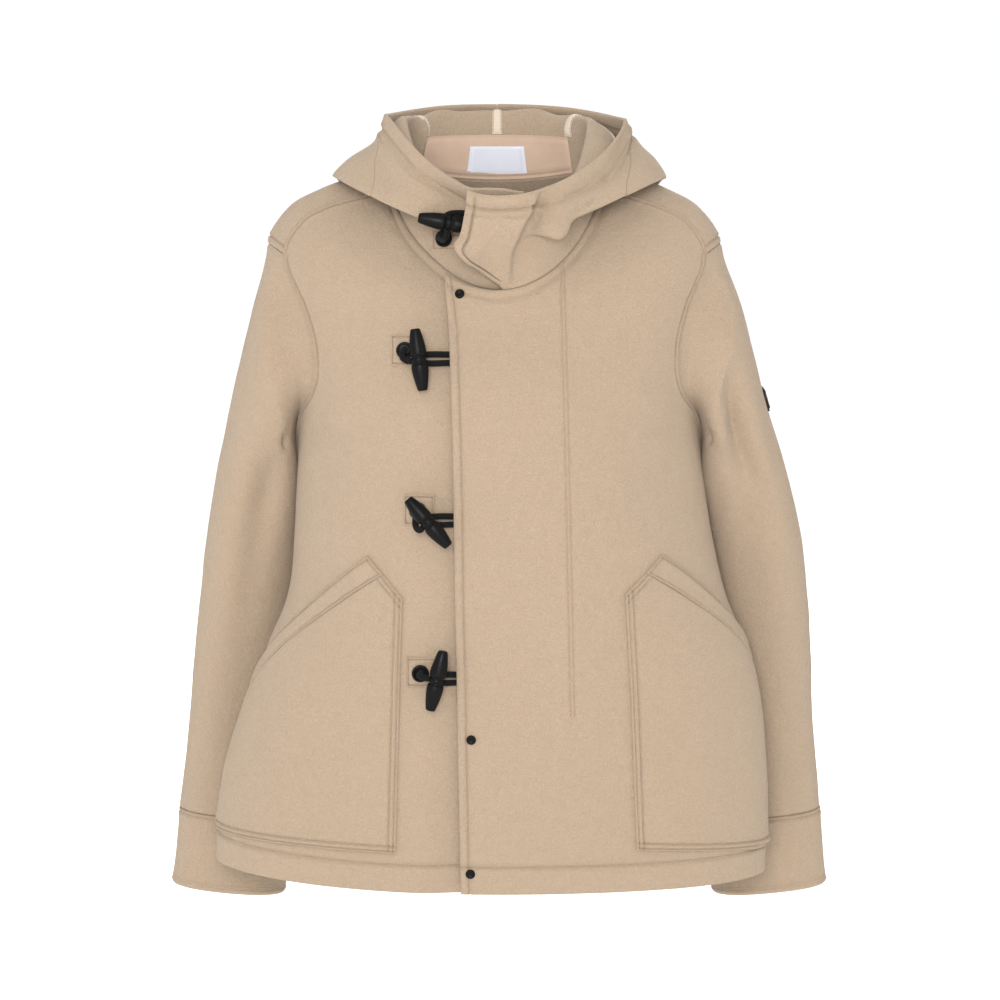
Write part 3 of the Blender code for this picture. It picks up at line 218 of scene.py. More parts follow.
class Surface:
    """A ringed surface through the rows of a table, closed round the jacket and open at both ends."""

    U_STEP, V_STEP, ROW_STEP = 0.8, 0.04, 0.05  # degrees and rows between the places compared

    def __init__(self, table):
        self.table, self.end = table, float(len(table) - 1)

    def point(self, u, v, finished=True):
        u, v = np.broadcast_arrays(np.asarray(u, float), np.asarray(v, float))
        ring = dict(zip(RING, np.moveaxis(rows(self.table, v), -1, 0)))
        s, c = np.sin(np.radians(u)), np.cos(np.radians(u))
        left, back = s > 0, c < 0
        half = np.where(left, ring["left"], ring["right"])
        z_side = np.where(left, ring["z_left"], ring["z_right"])
        fall = np.where(back, ring["fall_back"], np.where(left, ring["fall_left"], ring["fall_right"]))
        depth = np.where(back, ring["back"], ring["front"])
        z_end = np.where(back, ring["z_back"], ring["z_front"])
        power = 2.0 / np.where(back, ring["square_back"], ring["square_front"])
        x = half * signed_power(s, power)
        y = -depth * signed_power(c, power)
        place = np.stack((x, y, z_side + (z_end - z_side) * np.abs(c) ** fall), -1)
        return self.wavy(place, u, v) if finished and self.table is HOOD else place

    def wavy(self, place, u, v):
        """The hood's inner fold waves up and down, and its lowest row meets the body's neck."""
        turn = np.radians(u)
        share = bell(v, INNER_FOLD_ROW, FOLD_WAVE_ROWS) * (np.cos(turn) < FOLD_FRONT)
        wave = np.sin(turn * FOLD_WAVES[0] + FOLD_PHASE) + FOLD_SHARE * np.sin(turn * FOLD_WAVES[1])
        place[..., 2] += FOLD_WAVE * share * wave
        sewn = ease(1.0 - v / SEWN_ROWS)[..., None] * (1.0 - SEAM_GAP / NECK_STEP)
        return place + sewn * (self.partner.point(u, NECK + 0.0 * v) - self.point(u, 0.0 * v, False))

    def own_normal(self, u, v, place=None):
        place = place or self.point
        across = place(u + self.U_STEP, v) - place(u - self.U_STEP, v)
        up = place(u, np.minimum(v + self.V_STEP, self.end)) - place(u, np.maximum(v - self.V_STEP, 0.0))
        return unit(np.cross(across, up))

    def normal(self, u, v, place=None):
        """The normal, which turns to a shared one at the seam with the other surface."""
        own = self.own_normal(u, v, place)
        weight = ease(1.0 - np.abs(v - self.sewn) / SEWN_ROWS)[..., None]
        if not weight.any():
            return own
        here, there = (each.own_normal(u, np.full(np.shape(u), each.sewn)) for each in (self, self.partner))
        return unit(lerp(own, unit(here + there), weight))

    def degrees(self, u, v, length):
        step = self.point(u + self.U_STEP, v) - self.point(u - self.U_STEP, v)
        return 2.0 * self.U_STEP * length / np.linalg.norm(step, axis=-1)

    def per_row(self, u, v):
        """Metres for each step of v."""
        low, high = np.maximum(v - self.ROW_STEP, 0.0), np.minimum(v + self.ROW_STEP, self.end)
        return np.linalg.norm(self.point(u, high) - self.point(u, low), axis=-1) / (high - low)

    def u_at_x(self, x, v):
        x, v = np.broadcast_arrays(np.asarray(x, float), np.asarray(v, float))
        ring = dict(zip(RING, np.moveaxis(rows(self.table, v), -1, 0)))
        half = np.where(x > 0, ring["left"], ring["right"])
        share = np.minimum(1.0, np.abs(x) / half) ** (ring["square_front"] / 2.0)
        return np.sign(x) * np.degrees(np.arcsin(share))

    def v_at_z(self, u, z, low, high):
        low, high = np.full(np.shape(z), low, float), np.full(np.shape(z), high, float)
        for _ in range(40):
            middle = (low + high) / 2.0
            below = self.point(u, middle)[..., 2] < z
            low, high = np.where(below, middle, low), np.where(below, high, middle)
        return (low + high) / 2.0

    def find_front(self, x, z, low, high):
        x, z = np.broadcast_arrays(np.asarray(x, float), np.asarray(z, float))
        u = np.zeros(x.shape)
        for _ in range(12):
            v = self.v_at_z(u, z, low, high)
            u = self.u_at_x(x, v)
        return u, v


torso, hood = Surface(TORSO), Surface(HOOD)
torso.sewn, torso.partner, hood.sewn, hood.partner = NECK, hood, 0.0, torso


def placket_x(v):
    return lerp(PLACKET_EDGE_HEM, PLACKET_EDGE_TOP, v / NECK)


def armhole(v, column):
    return rows(ARMHOLE[:, column], v - ARMPIT)


def yoke_angle(v):
    return lerp(ARMHOLE[-1, 0], YOKE_SEAM_NECK, np.clip((v - TIP) / (NECK - TIP), 0.0, 1.0))


def front_outer(v):
    return np.where(v <= ARMPIT, 90.0, np.where(v <= TIP, armhole(np.minimum(v, TIP), 0), yoke_angle(v)))


def underlap_push(u, v):
    x = torso.point(u, v)[..., 0]
    return -UNDERLAP_DEPTH * ease((x - placket_x(v) + UNDERLAP_SLOPE) / UNDERLAP_SLOPE)


def collar_push(u, v):
    x = hood.point(u, v)[..., 0]
    risen = ease(v / INNER_FOLD_ROW)
    depth = lerp(UNDERLAP_DEPTH, COLLAR_DEPTH, risen)
    depth = lerp(depth, COLLAR_RIM_DEPTH, ease((v - RIM_ROW) / (HOOD_EDGE - RIM_ROW)))
    edge = lerp(PLACKET_EDGE_TOP, COLLAR_DIP_END, risen)
    return roll_push(u, v) - depth * ease((x - edge + UNDERLAP_SLOPE) / UNDERLAP_SLOPE)


def crease_x(height):
    return np.interp(height, CREASE_HEIGHTS, CREASE_PLACES)


def crease_angle(v):
    return hood.u_at_x(crease_x(rows(HOOD[:, 4], v) - HOOD[0, 4]), v)


def sag_weight(u, v):
    """Where the end of the hood's roll hangs down beside the flap."""
    x = hood.point(u, v)[..., 0]
    across = bell(x, SAG_X, np.where(x < SAG_X, SAG_LEFT, SAG_RIGHT))
    return across * ease((v - SAG_ROW) / SAG_ROWS) * ease((SAG_END - v) / SAG_END_ROWS)


def flap_sag(u, v):
    return SAG_DROP * sag_weight(u, v)


def collar_sag(u, v):
    """The under layer's rim stands a little higher than the flap's, behind it."""
    x = hood.point(u, v)[..., 0]
    high = ease((x - COLLAR_RISE_LOW_X) / COLLAR_RISE_WIDTH) * ease((v - COLLAR_RISE_ROW) / COLLAR_RISE_ROWS)
    return -COLLAR_RISE * high * ease((COLLAR_RISE_HIGH_X - x) / COLLAR_RISE_WIDTH)


def flap_push(u, v):
    """The throat flap lies flat in front up to its crease, and the roll goes on beside it."""
    x, y, z = np.moveaxis(hood.point(u, v), -1, 0)
    height = z - HOOD[0, 4]
    sewn = ease((x - FLAP_SEWN_X) / FLAP_SEWN_WIDTH)
    free = ease(height / lerp(FLAP_RAMP_FREE, FLAP_RAMP_SEWN, sewn))
    crease = crease_x(height)
    width = lerp(CREASE_WIDTH, CREASE_RIM_WIDTH, ease((v - CREASE_RIM_ROW) / CREASE_RIM_ROWS))
    flap = (FLAP_FRONT + y) * free * ease((crease + width / 2.0 - x) / width)
    slack = ease(1.0 - (x - crease - CREASE_STEEP / 2.0) / CREASE_SLACK)
    dip = ease((x - crease) / CREASE_STEEP + 0.5) * slack
    flap = flap - CREASE_DIP * dip * ease(height / CREASE_FADE) * ease(CREASE_END - v)
    curl = FLAP_CURL * ease(1.0 - (x - rows(FLAP_EDGE, v)) / FLAP_CURL_WIDTH)
    flap = flap + curl * ease(v / FLAP_CURL_ROWS) * ease(FLAP_CURL_END - v)
    away = ((x - LUMP_X) / LUMP_RADIUS) ** 2 + ((z - LUMP_Z) / LUMP_RADIUS) ** 2
    return flap + roll_push(u, v) + LUMP_LIFT * ease(1.0 - away) + SAG_PUSH * sag_weight(u, v)


def roll_push(u, v):
    turn = np.abs((u + 180.0) % 360.0 - 180.0)
    recess = -ROLL_RECESS * bell(v, ROLL_ROW, ROLL_ROWS)
    return recess * ease((turn - ROLL_START) / ROLL_START_RAMP) * ease((ROLL_END - turn) / ROLL_END_RAMP)


def hood_seam(v, side):
    """The side seam's angle: side is 1 for the edge in front of it and -1 for the one behind it."""
    middle = rows(HOOD_SEAM, v)
    return middle - side * hood.degrees(middle, v, HALF_GAP)


# ---------------------------------------------------------------- materials
def srgb(r, g, b):
    def linear(value):
        value /= 255.0
        return value / 12.92 if value <= 0.04045 else ((value + 0.055) / 1.055) ** 2.4

    return (linear(r), linear(g), linear(b), 1.0)


class Shader:
    """A material whose nodes are added one by one."""

    def __init__(self, name, **values):
        self.material = bpy.data.materials.new(name)
        self.material.use_nodes = True
        self.tree = self.material.node_tree
        self.principled = self.tree.nodes["Principled BSDF"]
        for socket, value in values.items():
            self.principled.inputs[socket.replace("_", " ")].default_value = value
        self.where = self.add("ShaderNodeTexCoord").outputs["Object"]

    def add(self, kind, **settings):
        node = self.tree.nodes.new(kind)
        for key, value in settings.items():
            setattr(node, key, value)
        return node

    def join(self, output, socket):
        self.tree.links.new(output, socket)

    def feed(self, value, socket):
        if isinstance(value, bpy.types.NodeSocket):
            self.join(value, socket)
        else:
            socket.default_value = value

    def noise(self, scale, detail=3.0, roughness=0.6):
        node = self.add("ShaderNodeTexNoise")
        self.join(self.where, node.inputs["Vector"])
        for key, value in (("Scale", scale), ("Detail", detail), ("Roughness", roughness)):
            node.inputs[key].default_value = value
        return node.outputs["Fac"]

    def mask(self, scale, detail, roughness, low, high, dark=0.0, light=1.0):
        """A noise that is dark below one value and light above the other."""
        node = self.add("ShaderNodeValToRGB")
        self.join(self.noise(scale, detail, roughness), node.inputs["Fac"])
        for element, place, value in zip(node.color_ramp.elements, (low, high), (dark, light)):
            element.position, element.color = place, (value, value, value, 1.0)
        return node.outputs["Color"]

    def bands(self, direction, scale, distortion=0.0):
        node = self.add("ShaderNodeTexWave", wave_type="BANDS", bands_direction=direction)
        self.join(self.where, node.inputs["Vector"])
        node.inputs["Scale"].default_value, node.inputs["Distortion"].default_value = scale, distortion
        return node.outputs["Fac"]

    def mix(self, a, b, factor):
        node = self.add("ShaderNodeMix", data_type="RGBA")
        for value, socket in ((factor, node.inputs[0]), (a, node.inputs[6]), (b, node.inputs[7])):
            self.feed(value, socket)
        return node.outputs[2]

    def math(self, operation, a, b):
        node = self.add("ShaderNodeMath", operation=operation)
        self.feed(a, node.inputs[0])
        self.feed(b, node.inputs[1])
        return node.outputs[0]

    def colour(self, output):
        self.join(output, self.principled.inputs["Base Color"])

    def bump(self, height, distance, strength=1.0):
        node = self.add("ShaderNodeBump")
        node.inputs["Strength"].default_value = strength
        node.inputs["Distance"].default_value = distance
        self.join(height, node.inputs["Height"])
        self.join(node.outputs["Normal"], self.principled.inputs["Normal"])


PATCH_SCALE, PILE_SCALE, FIBRE_SCALE, FLECK_SCALE = 95.0, 210.0, 620.0, 560.0  # of the wool's pattern
FIBRE_SHARE, PILE_SHARE, FLECK_SHARE = 0.82, 1.2, 0.35


def wool_material(name, light, dark, nap):
    made = Shader(name, Roughness=0.95, Specular_IOR_Level=0.15, Sheen_Weight=0.25, Sheen_Roughness=0.45)
    made.principled.inputs["Sheen Tint"].default_value = srgb(255, 240, 222)
    patches = made.mask(PATCH_SCALE, 4.0, 0.7, 0.30, 0.70)
    fibres = made.mask(FIBRE_SCALE, 4.0, 0.75, 0.36, 0.66)
    tone = made.mix(dark, light, made.mix(patches, fibres, FIBRE_SHARE))
    flecks = made.mask(FLECK_SCALE, 2.0, 0.5, 0.64, 0.72)
    made.colour(made.mix(tone, srgb(178, 161, 141), made.math("MULTIPLY", flecks, FLECK_SHARE)))
    tufts = made.math("MULTIPLY", made.noise(PILE_SCALE, 3.0), PILE_SHARE)
    made.bump(made.math("ADD", made.noise(FIBRE_SCALE, 5.0, 0.75), tufts), nap)
    return made.material


def thread_material():
    made = Shader("thread", Roughness=0.8, Specular_IOR_Level=0.25)
    # The thread's own tone is the wool's. It is made a little darker as painted shade, standing in for the shadow along
    # the stitch grooves.
    made.colour(made.mix(srgb(141, 118, 95), srgb(162, 139, 116), made.noise(900.0, 2.0)))
    made.bump(made.noise(2400.0, 2.0), 0.0002)
    return made.material


def smooth_cloth_material(name, light, dark, weave):
    made = Shader(name, Roughness=0.75, Specular_IOR_Level=0.25, Sheen_Weight=0.15)
    made.colour(made.mix(dark, light, made.noise(45.0, 4.0)))
    made.bump(made.math("ADD", made.noise(1400.0, 2.0), made.noise(200.0, 2.0)), weave)
    return made.material


def label_material():
    made = Shader("label_satin", Roughness=0.55, Specular_IOR_Level=0.35)
    weave = made.bands("Z", 1100.0)
    made.colour(made.mix(srgb(230, 232, 244), srgb(240, 241, 250), weave))
    made.bump(weave, 0.0002)
    return made.material


def black_plastic_material():
    made = Shader("black_plastic", Roughness=0.4, Specular_IOR_Level=0.10)
    made.colour(made.mix(srgb(5, 5, 5), srgb(12, 11, 11), made.noise(90.0, 4.0)))
    made.join(made.mask(300.0, 4.0, 0.6, 0.3, 0.7, 0.30, 0.48), made.principled.inputs["Roughness"])
    made.bump(made.noise(700.0, 3.0), 0.0002, 0.6)
    return made.material


def cord_material():
    made = Shader("black_cord", Roughness=0.9, Specular_IOR_Level=0.08, Sheen_Weight=0.03)
    strands = made.bands("DIAGONAL", 260.0, 1.5)
    made.colour(made.mix(srgb(8, 8, 8), srgb(26, 25, 25), strands))
    made.bump(strands, 0.0006)
    return made.material


WOOL = wool_material("wool_felt", srgb(160, 142, 122), srgb(144, 125, 105), 0.0014)
THREAD = thread_material()
FACING = smooth_cloth_material("facing_twill", srgb(178, 154, 134), srgb(163, 139, 120), 0.0003)
TAPE = smooth_cloth_material("seam_tape", srgb(194, 181, 165), srgb(182, 168, 151), 0.0003)
LABEL = label_material()
BLACK = black_plastic_material()
CORD = cord_material()
TAB_FELT = wool_material("tab_felt", srgb(30, 29, 30), srgb(18, 17, 18), 0.0006)


# ---------------------------------------------------------------- meshes
def link_object(name, data):
    made = bpy.data.objects.new(name, data)
    bpy.context.scene.collection.objects.link(made)
    return made


def add_object(name, mesh, material, replaced=()):
    mesh.materials.append(material)
    made = link_object(name, mesh)
    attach(made, "root")
    if replaced:
        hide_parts(*replaced)
    return made


def quad_mesh(name, points, faces):
    """A smooth mesh of points and quads of point numbers."""
    mesh = bpy.data.meshes.new(name)
    mesh.vertices.add(len(points))
    mesh.vertices.foreach_set("co", points.ravel())
    mesh.loops.add(faces.size)
    mesh.loops.foreach_set("vertex_index", faces.ravel())
    mesh.polygons.add(len(faces))
    mesh.polygons.foreach_set("loop_start", np.arange(0, faces.size, 4))
    mesh.update(calc_edges=True)
    mesh.shade_smooth()
    return mesh


def smooth(mesh, degrees):
    mesh.shade_smooth()
    mesh.set_sharp_from_angle(angle=math.radians(degrees))


CLOTH_SHARP, TURNED_SHARP = 62, 50  # the least angles of a sharp edge, in degrees


def shell_mesh(name, outer, inner, cells):
    """A wall between outer and inner points. cells are quads of point numbers, wound as seen from outside."""
    count = len(outer)
    starts, ends = cells.ravel(), np.roll(cells, -1, axis=1).ravel()
    rim = ~np.isin(starts * count + ends, ends * count + starts)
    rims = np.stack((starts[rim], starts[rim] + count, ends[rim] + count, ends[rim]), -1)
    mesh = quad_mesh(name, np.concatenate((outer, inner)), np.concatenate((cells, cells[:, ::-1] + count, rims)))
    smooth(mesh, CLOTH_SHARP)
    return mesh


def grid_cells(rows_count, columns_count, closed=False):
    number = np.arange(rows_count * columns_count).reshape(rows_count, columns_count)
    right = np.roll(number, -1, axis=1) if closed else number[:, 1:]
    left = number if closed else number[:, :-1]
    return np.stack((left[:-1], right[:-1], right[1:], left[1:]), -1).reshape(-1, 4)


def uneven(points, size, amount, seed):
    """A soft random offset for each point, of about amount, over patches of about size."""
    shift = Vector((seed * 7.31, seed * 3.17, seed * 5.53))
    flat = points.reshape(-1, 3) / size
    values = [noise.noise(Vector(p) + shift) for p in flat]
    return np.array(values).reshape(points.shape[:-1]) * amount


# Rows of stitches are collected here as (points, normals) for each part of the jacket.
stitch_rows = {"body": [], "hood": [], "sleeves": [], "pockets": []}


def crease_field(points, creases):
    """The height of soft ridges and troughs at each point. A crease is (start, end, half width,
    height), with its places in 3-D, and it fades out towards its ends."""
    total = np.zeros(points.shape[:-1])
    for start, end, width, height in creases:
        start, end = np.asarray(start, float), np.asarray(end, float)
        along = end - start
        share = ((points - start) @ along) / (along @ along)
        nearest = start + np.clip(share, 0.0, 1.0)[..., None] * along
        away = np.linalg.norm(points - nearest, axis=-1)
        fade = ease(np.minimum(share, 1.0 - share) / 0.35 + 0.15)
        total += height * bell(away, 0.0, width) * fade
    return total


HEM_THICKNESS, HEM_FALL = 0.0024, 0.0035  # of the hood's turned-in edge
HEM_NIP = 0.75  # how far the stitches pull it together again
HEM_ROW = 0.2  # where a row's length at the body's hem is read
ROUNDING = 0.0024  # how far in from its edges the cloth rounds off
ROUND_DROP = 0.0015
SEAM_DROP, HOOD_SEAM_DROP = 0.0012, 0.0006  # the same where two pieces meet at a seam
GROOVE_WIDTH, GROOVE_DEPTH = 0.0011, 0.0016
PUFF_WIDTH, PUFF_HEIGHT, PUFF_SPREAD = 0.0028, 0.0007, 3.0  # the cloth swells between two rows of stitches
STITCH_STEP = 0.0009
BROAD_WAVE, FINE_WAVE = 0.090, 0.026  # sizes of the cloth's slight unevenness


def groove(away):
    """The hollow along a row of stitches."""
    return -GROOVE_DEPTH * bell(away, 0.0, GROOVE_WIDTH)


def puff(away):
    """The swelling beside a row of stitches."""
    return PUFF_HEIGHT * np.exp(-(((away - PUFF_WIDTH) / GROOVE_WIDTH) ** 2) / PUFF_SPREAD)


def rounding(away):
    """1 at the very edge, falling to 0 where the cloth is flat."""
    return (1.0 - np.clip(away / ROUNDING, 0.0, 1.0)) ** 2


def within(kind, u, v, low, high):
    """The part of a column between two rows, or of a row between two angles."""
    other = v if kind == "column" else u
    return (other >= low) & (other <= high)


def edge_lines(*distances):
    """Grid lines from an edge inward, close enough for a groove at each of the distances."""
    found = {0.0, 0.0006, 0.0013}
    for distance in distances:
        steps = (distance + k * STITCH_STEP for k in (-2, -1, 0, 1, 2))
        found.update(step for step in steps if step > 0.0017)
    found.add(max(distances) + 0.0055)
    kept = []
    for line in sorted(found):
        if not kept or line - kept[-1] > 0.0004 or any(abs(line - d) < 1e-9 for d in distances):
            kept.append(line)
    return tuple(kept)


def backward(lines):
    return tuple(-line for line in reversed(lines))


EVERYWHERE = (-1e9, 1e9)


class Cloth:
    """A piece of cloth on a surface, as a grid. columns are (angle at v, offsets in metres, steps to
    the next), and levels are (v, offsets in metres, steps to the next), each from start to end."""

    def __init__(self, name, surface, columns, levels, push=None, creases=(), seed=1.0, wave=0.0009,
                 lift=0.0, thickness=CLOTH, inside=False, part="body", seams=(), sag=None, hem=None):
        self.name, self.surface, self.push, self.creases = name, surface, push, creases
        self.sag, self.hem = sag, hem
        self.seed, self.wave, self.lift, self.thickness = seed, wave, lift, thickness
        self.inside, self.part = inside, part
        self.columns, self.levels = columns, levels
        self.grooves, self.pending, self.pending_inside = [], [], []
        self.edges = [("column", 0, 1, *EVERYWHERE), ("column", len(columns) - 1, -1, *EVERYWHERE),
                      ("row", 0, 1, *EVERYWHERE), ("row", len(levels) - 1, -1, *EVERYWHERE)]
        self.seams = seams  # the edges that are sewn to another piece
        self.column_lines, self.row_lines = self.spread(columns), self.spread(levels)
        middle = np.array([lerp(levels[k][0], levels[min(k + 1, len(levels) - 1)][0], share)
                           for k, _, share in self.row_lines])
        guess = self.column_angles(np.repeat(middle[:, None], len(self.column_lines), axis=1))
        self.v = self.row_numbers(guess)
        self.u = self.column_angles(self.v)

    def spread(self, stops):
        """Grid lines as (stop, offset, share of the way from it to the next stop)."""
        lines = []
        for k, (_, offsets, steps) in enumerate(stops):
            lines += [(k, offset, 0.0) for offset in offsets]
            lines += [(k, offsets[-1], step / steps) for step in range(1, steps)]
        return lines

    def column_angles(self, v):
        found = np.empty(v.shape)
        for c, (k, offset, share) in enumerate(self.column_lines):
            here = self.columns[k][0](v[:, c])
            found[:, c] = here + self.surface.degrees(here, v[:, c], offset)
            if share:
                after, offsets, _ = self.columns[k + 1]
                there = after(v[:, c])
                there = there + self.surface.degrees(there, v[:, c], offsets[0])
                found[:, c] = lerp(found[:, c], there, share)
        return found

    def row_size(self, u, level):
        """Metres of cloth in a row at a level; the body's hem is read a little above its end."""
        low = HEM_ROW if self.part == "body" else 0.0
        return self.surface.per_row(u, np.full(np.shape(u), max(level, low)))

    def row_numbers(self, u):
        found = np.empty(u.shape)
        for r, (k, offset, share) in enumerate(self.row_lines):
            level = self.levels[k][0]
            found[r] = level + offset / self.row_size(u[r], level)
            if share:
                after, offsets, _ = self.levels[k + 1]
                there = after + offsets[0] / self.row_size(u[r], after)
                found[r] = lerp(found[r], there, share)
        return found

    def base(self, u, v):
        place = self.surface.point(u, v)
        if self.push:
            place = place + outward(u) * self.push(u, v)[..., None]
        if self.sag:
            place[..., 2] -= self.sag(u, v)
        return place

    def distance(self, kind, k, u, v):
        """Metres from a column or row stop, positive towards the end."""
        if kind == "column":
            here = self.columns[k][0](v)
            return (u - here) / self.surface.degrees(here, v, 1.0)
        level = self.levels[k][0]
        return (v - level) * self.row_size(u, level)

    def height(self, u, v, place):
        total = crease_field(place, self.creases)
        total = total + uneven(place, BROAD_WAVE, self.wave, self.seed)
        total = total + uneven(place, FINE_WAVE, self.wave * 0.3, self.seed + 9.0)
        sewn_drop = HOOD_SEAM_DROP if self.part == "hood" else SEAM_DROP
        for kind, k, sign, low, high in self.edges:
            away = self.distance(kind, k, u, v) * sign
            drop = sewn_drop if (kind, k) in self.seams else ROUND_DROP
            total = total - drop * rounding(away) * within(kind, u, v, low, high)
        for kind, k, offset, low, high, strength in self.grooves:
            away = np.abs(self.distance(kind, k, u, v) - offset)
            total = total + (groove(away) + puff(away)) * within(kind, u, v, low, high) * strength
        return total

    def stitch(self, kind, k, offset, low=-1e9, high=1e9, strength=1.0):
        """A row of stitches along the grid line at an offset from a stop, and its groove."""
        if strength:
            self.grooves.append((kind, k, offset, low, high, strength))
        lines = self.column_lines if kind == "column" else self.row_lines
        index = min(range(len(lines)), key=lambda n: (lines[n][0] != k, lines[n][2] > 0, abs(lines[n][1] - offset)))
        u, v = (self.u[:, index], self.v[:, index]) if kind == "column" else (self.u[index], self.v[index])
        shown = within(kind, u, v, low, high)
        self.pending.append((u[shown], v[shown]))
        if self.hem and kind == "row":
            self.pending_inside.append((u[shown], v[shown]))

    def walls(self, u, v):
        """Outer points, inner points and normals of the finished cloth."""
        base = self.base(u, v)
        normal = self.surface.normal(u, v, self.base)
        detail = self.height(u, v, base)[..., None]
        broad = crease_field(base, self.creases)[..., None]
        if self.hem:  # turned in along the last row and stitched down
            away = -self.distance("row", len(self.levels) - 1, u, v)
            fold = ease((self.hem + HEM_FALL - away) / HEM_FALL) * (1.0 - HEM_NIP * bell(away, self.hem, GROOVE_WIDTH))
            broad = broad - HEM_THICKNESS * (fold - rounding(away))[..., None]
        if self.inside:  # the side that shows is the inner one
            return base + normal * self.lift, base + normal * (self.lift - self.thickness) - normal * detail, -normal
        return base + normal * (self.lift + detail), base + normal * (self.lift - self.thickness + broad), normal

    def build(self, material, slot="wool", keep=None, suffix="_cloth", replaced=True):
        outer, inner, normal = self.walls(self.u, self.v)
        cells = grid_cells(*self.u.shape)
        if keep is not None:
            cells = cells[keep.ravel()]
        self.outer, self.cells = outer, cells
        used, numbers = np.unique(cells, return_inverse=True)
        numbers = numbers.reshape(cells.shape)
        mesh = shell_mesh(self.name, outer.reshape(-1, 3)[used], inner.reshape(-1, 3)[used], numbers)
        for u, v in self.pending:
            if len(u) > 1:
                o, i, n = self.walls(u, v)
                stitch_rows[self.part].append((i if self.inside else o, n))
        for u, v in self.pending_inside:
            o, i, n = self.walls(u, v)
            stitch_rows[self.part].append((i, -n))
        add_object(self.name + suffix, mesh, material, (self.name,) if replaced else ())
        return self


# ---------------------------------------------------------------- body
ARMHOLE_STITCHES, YOKE_STITCH = (0.0026, 0.0078), 0.0046  # metres from the edges, as all rows of stitches
HEM_STITCH, NECK_STITCH, PLACKET_STITCH, UNDERLAP_STITCH = 0.024, 0.0050, 0.0085, 0.007
CRISP, HEM_CRISP, FAINT = 1.4, 1.3, 0.7  # how deep some rows are sewn in
SEAM_TURN = 0.003  # of a seam with no stitches beside it
FACING_LINE_LOW, FACING_LINE_HIGH = (0.0749, -0.514), (0.0649, -0.071)  # x and z of its ends
FACING_LINE_LOW_ROW, FACING_LINE_ANGLE = 3.1, 30.0
FACING_STITCHES = (-0.0019, 0.0019)
FACING_LINES = tuple(k * 0.00095 for k in range(-5, 6))
BAR_ROWS, BAR_OFFSETS = 0.12, (-0.0007, 0.0, 0.0007)
SEAM_LINES, PLAIN_LINES = edge_lines(*ARMHOLE_STITCHES), edge_lines(SEAM_TURN)
HEM_LINES = (0.0, 0.0006, 0.0013, 0.0026, 0.006, 0.011, 0.016, 0.0202, 0.0220, 0.0230, 0.024, 0.0250,
             0.0262, 0.0290)
NECK_LINES = backward(edge_lines(NECK_STITCH))
BODY_ROWS = ((0.0, HEM_LINES, 92), (ARMPIT, (0.0,), 40), (TIP, (0.0,), 26), (NECK, NECK_LINES, 0))

FRONT_CREASES = (  # soft ones, from the armpits and beside the pockets
    ((-0.190, -0.060, -0.265), (-0.110, -0.125, -0.330), 0.016, -0.0035),
    ((-0.196, -0.050, -0.235), (-0.140, -0.110, -0.240), 0.010, -0.0028),
    ((-0.180, -0.075, -0.230), (-0.120, -0.125, -0.190), 0.014, 0.0022),
    ((0.192, -0.060, -0.262), (0.120, -0.125, -0.318), 0.016, -0.0035),
    ((0.194, -0.060, -0.232), (0.145, -0.110, -0.228), 0.010, -0.0026),
    ((0.180, -0.075, -0.228), (0.125, -0.120, -0.185), 0.014, 0.0020),
    ((-0.150, -0.110, -0.120), (-0.070, -0.125, -0.200), 0.022, -0.0018),
    ((0.150, -0.110, -0.120), (0.070, -0.125, -0.205), 0.022, -0.0018),
    ((0.020, -0.125, -0.250), (0.030, -0.135, -0.520), 0.030, -0.0014),
    ((0.075, -0.125, -0.330), (0.090, -0.120, -0.600), 0.026, 0.0014),
    ((-0.085, -0.125, -0.560), (-0.070, -0.125, -0.670), 0.016, 0.0016),
    ((-0.096, -0.125, -0.198), (-0.066, -0.125, -0.296), 0.013, -0.0026),
)
BACK_CREASES = (
    ((-0.185, 0.060, -0.275), (-0.080, 0.105, -0.355), 0.015, -0.0075),
    ((0.186, 0.060, -0.266), (0.075, 0.105, -0.338), 0.016, -0.0070),
    ((-0.150, 0.085, -0.225), (-0.055, 0.112, -0.290), 0.014, 0.0045),
    ((0.150, 0.085, -0.230), (0.060, 0.112, -0.300), 0.015, 0.0042),
    ((-0.190, 0.045, -0.330), (-0.100, 0.095, -0.450), 0.016, -0.0050),
    ((0.200, 0.045, -0.320), (0.110, 0.095, -0.430), 0.015, -0.0056),
    ((-0.060, 0.100, -0.380), (-0.095, 0.090, -0.640), 0.024, -0.0046),
    ((0.065, 0.098, -0.400), (0.120, 0.085, -0.650), 0.025, -0.0050),
    ((0.005, 0.100, -0.350), (-0.010, 0.090, -0.620), 0.028, 0.0036),
)


def side_edge(angle, sign):
    """The edge of a piece at a seam, half a gap away from it."""

    def edge(v):
        here = angle(v)
        return here + sign * torso.degrees(here, v, HALF_GAP)

    return edge


def armhole_stitches(cloth, stop, sign):
    for offset in ARMHOLE_STITCHES:
        cloth.stitch("column", stop, sign * offset, ARMPIT - 0.2, TIP, CRISP)


def hem_and_neck_stitches(cloth, low=-1e9, high=1e9):
    cloth.stitch("row", 0, HEM_STITCH, low, high, HEM_CRISP)
    cloth.stitch("row", 3, -NECK_STITCH)


def make_front_right():
    columns = ((side_edge(lambda v: -front_outer(v), 1), SEAM_LINES, 70),
               (lambda v: torso.u_at_x(UNDERLAP_END, v), backward(edge_lines(UNDERLAP_STITCH)), 0))
    cloth = Cloth("front_right", torso, columns, BODY_ROWS, push=underlap_push, creases=FRONT_CREASES, seed=2.0,
                  seams=(("column", 0), ("row", 3)))
    armhole_stitches(cloth, 0, 1)
    cloth.stitch("column", 0, YOKE_STITCH, TIP, NECK, CRISP)
    hem_and_neck_stitches(cloth)
    cloth.stitch("column", 1, -UNDERLAP_STITCH)
    return cloth.build(WOOL)


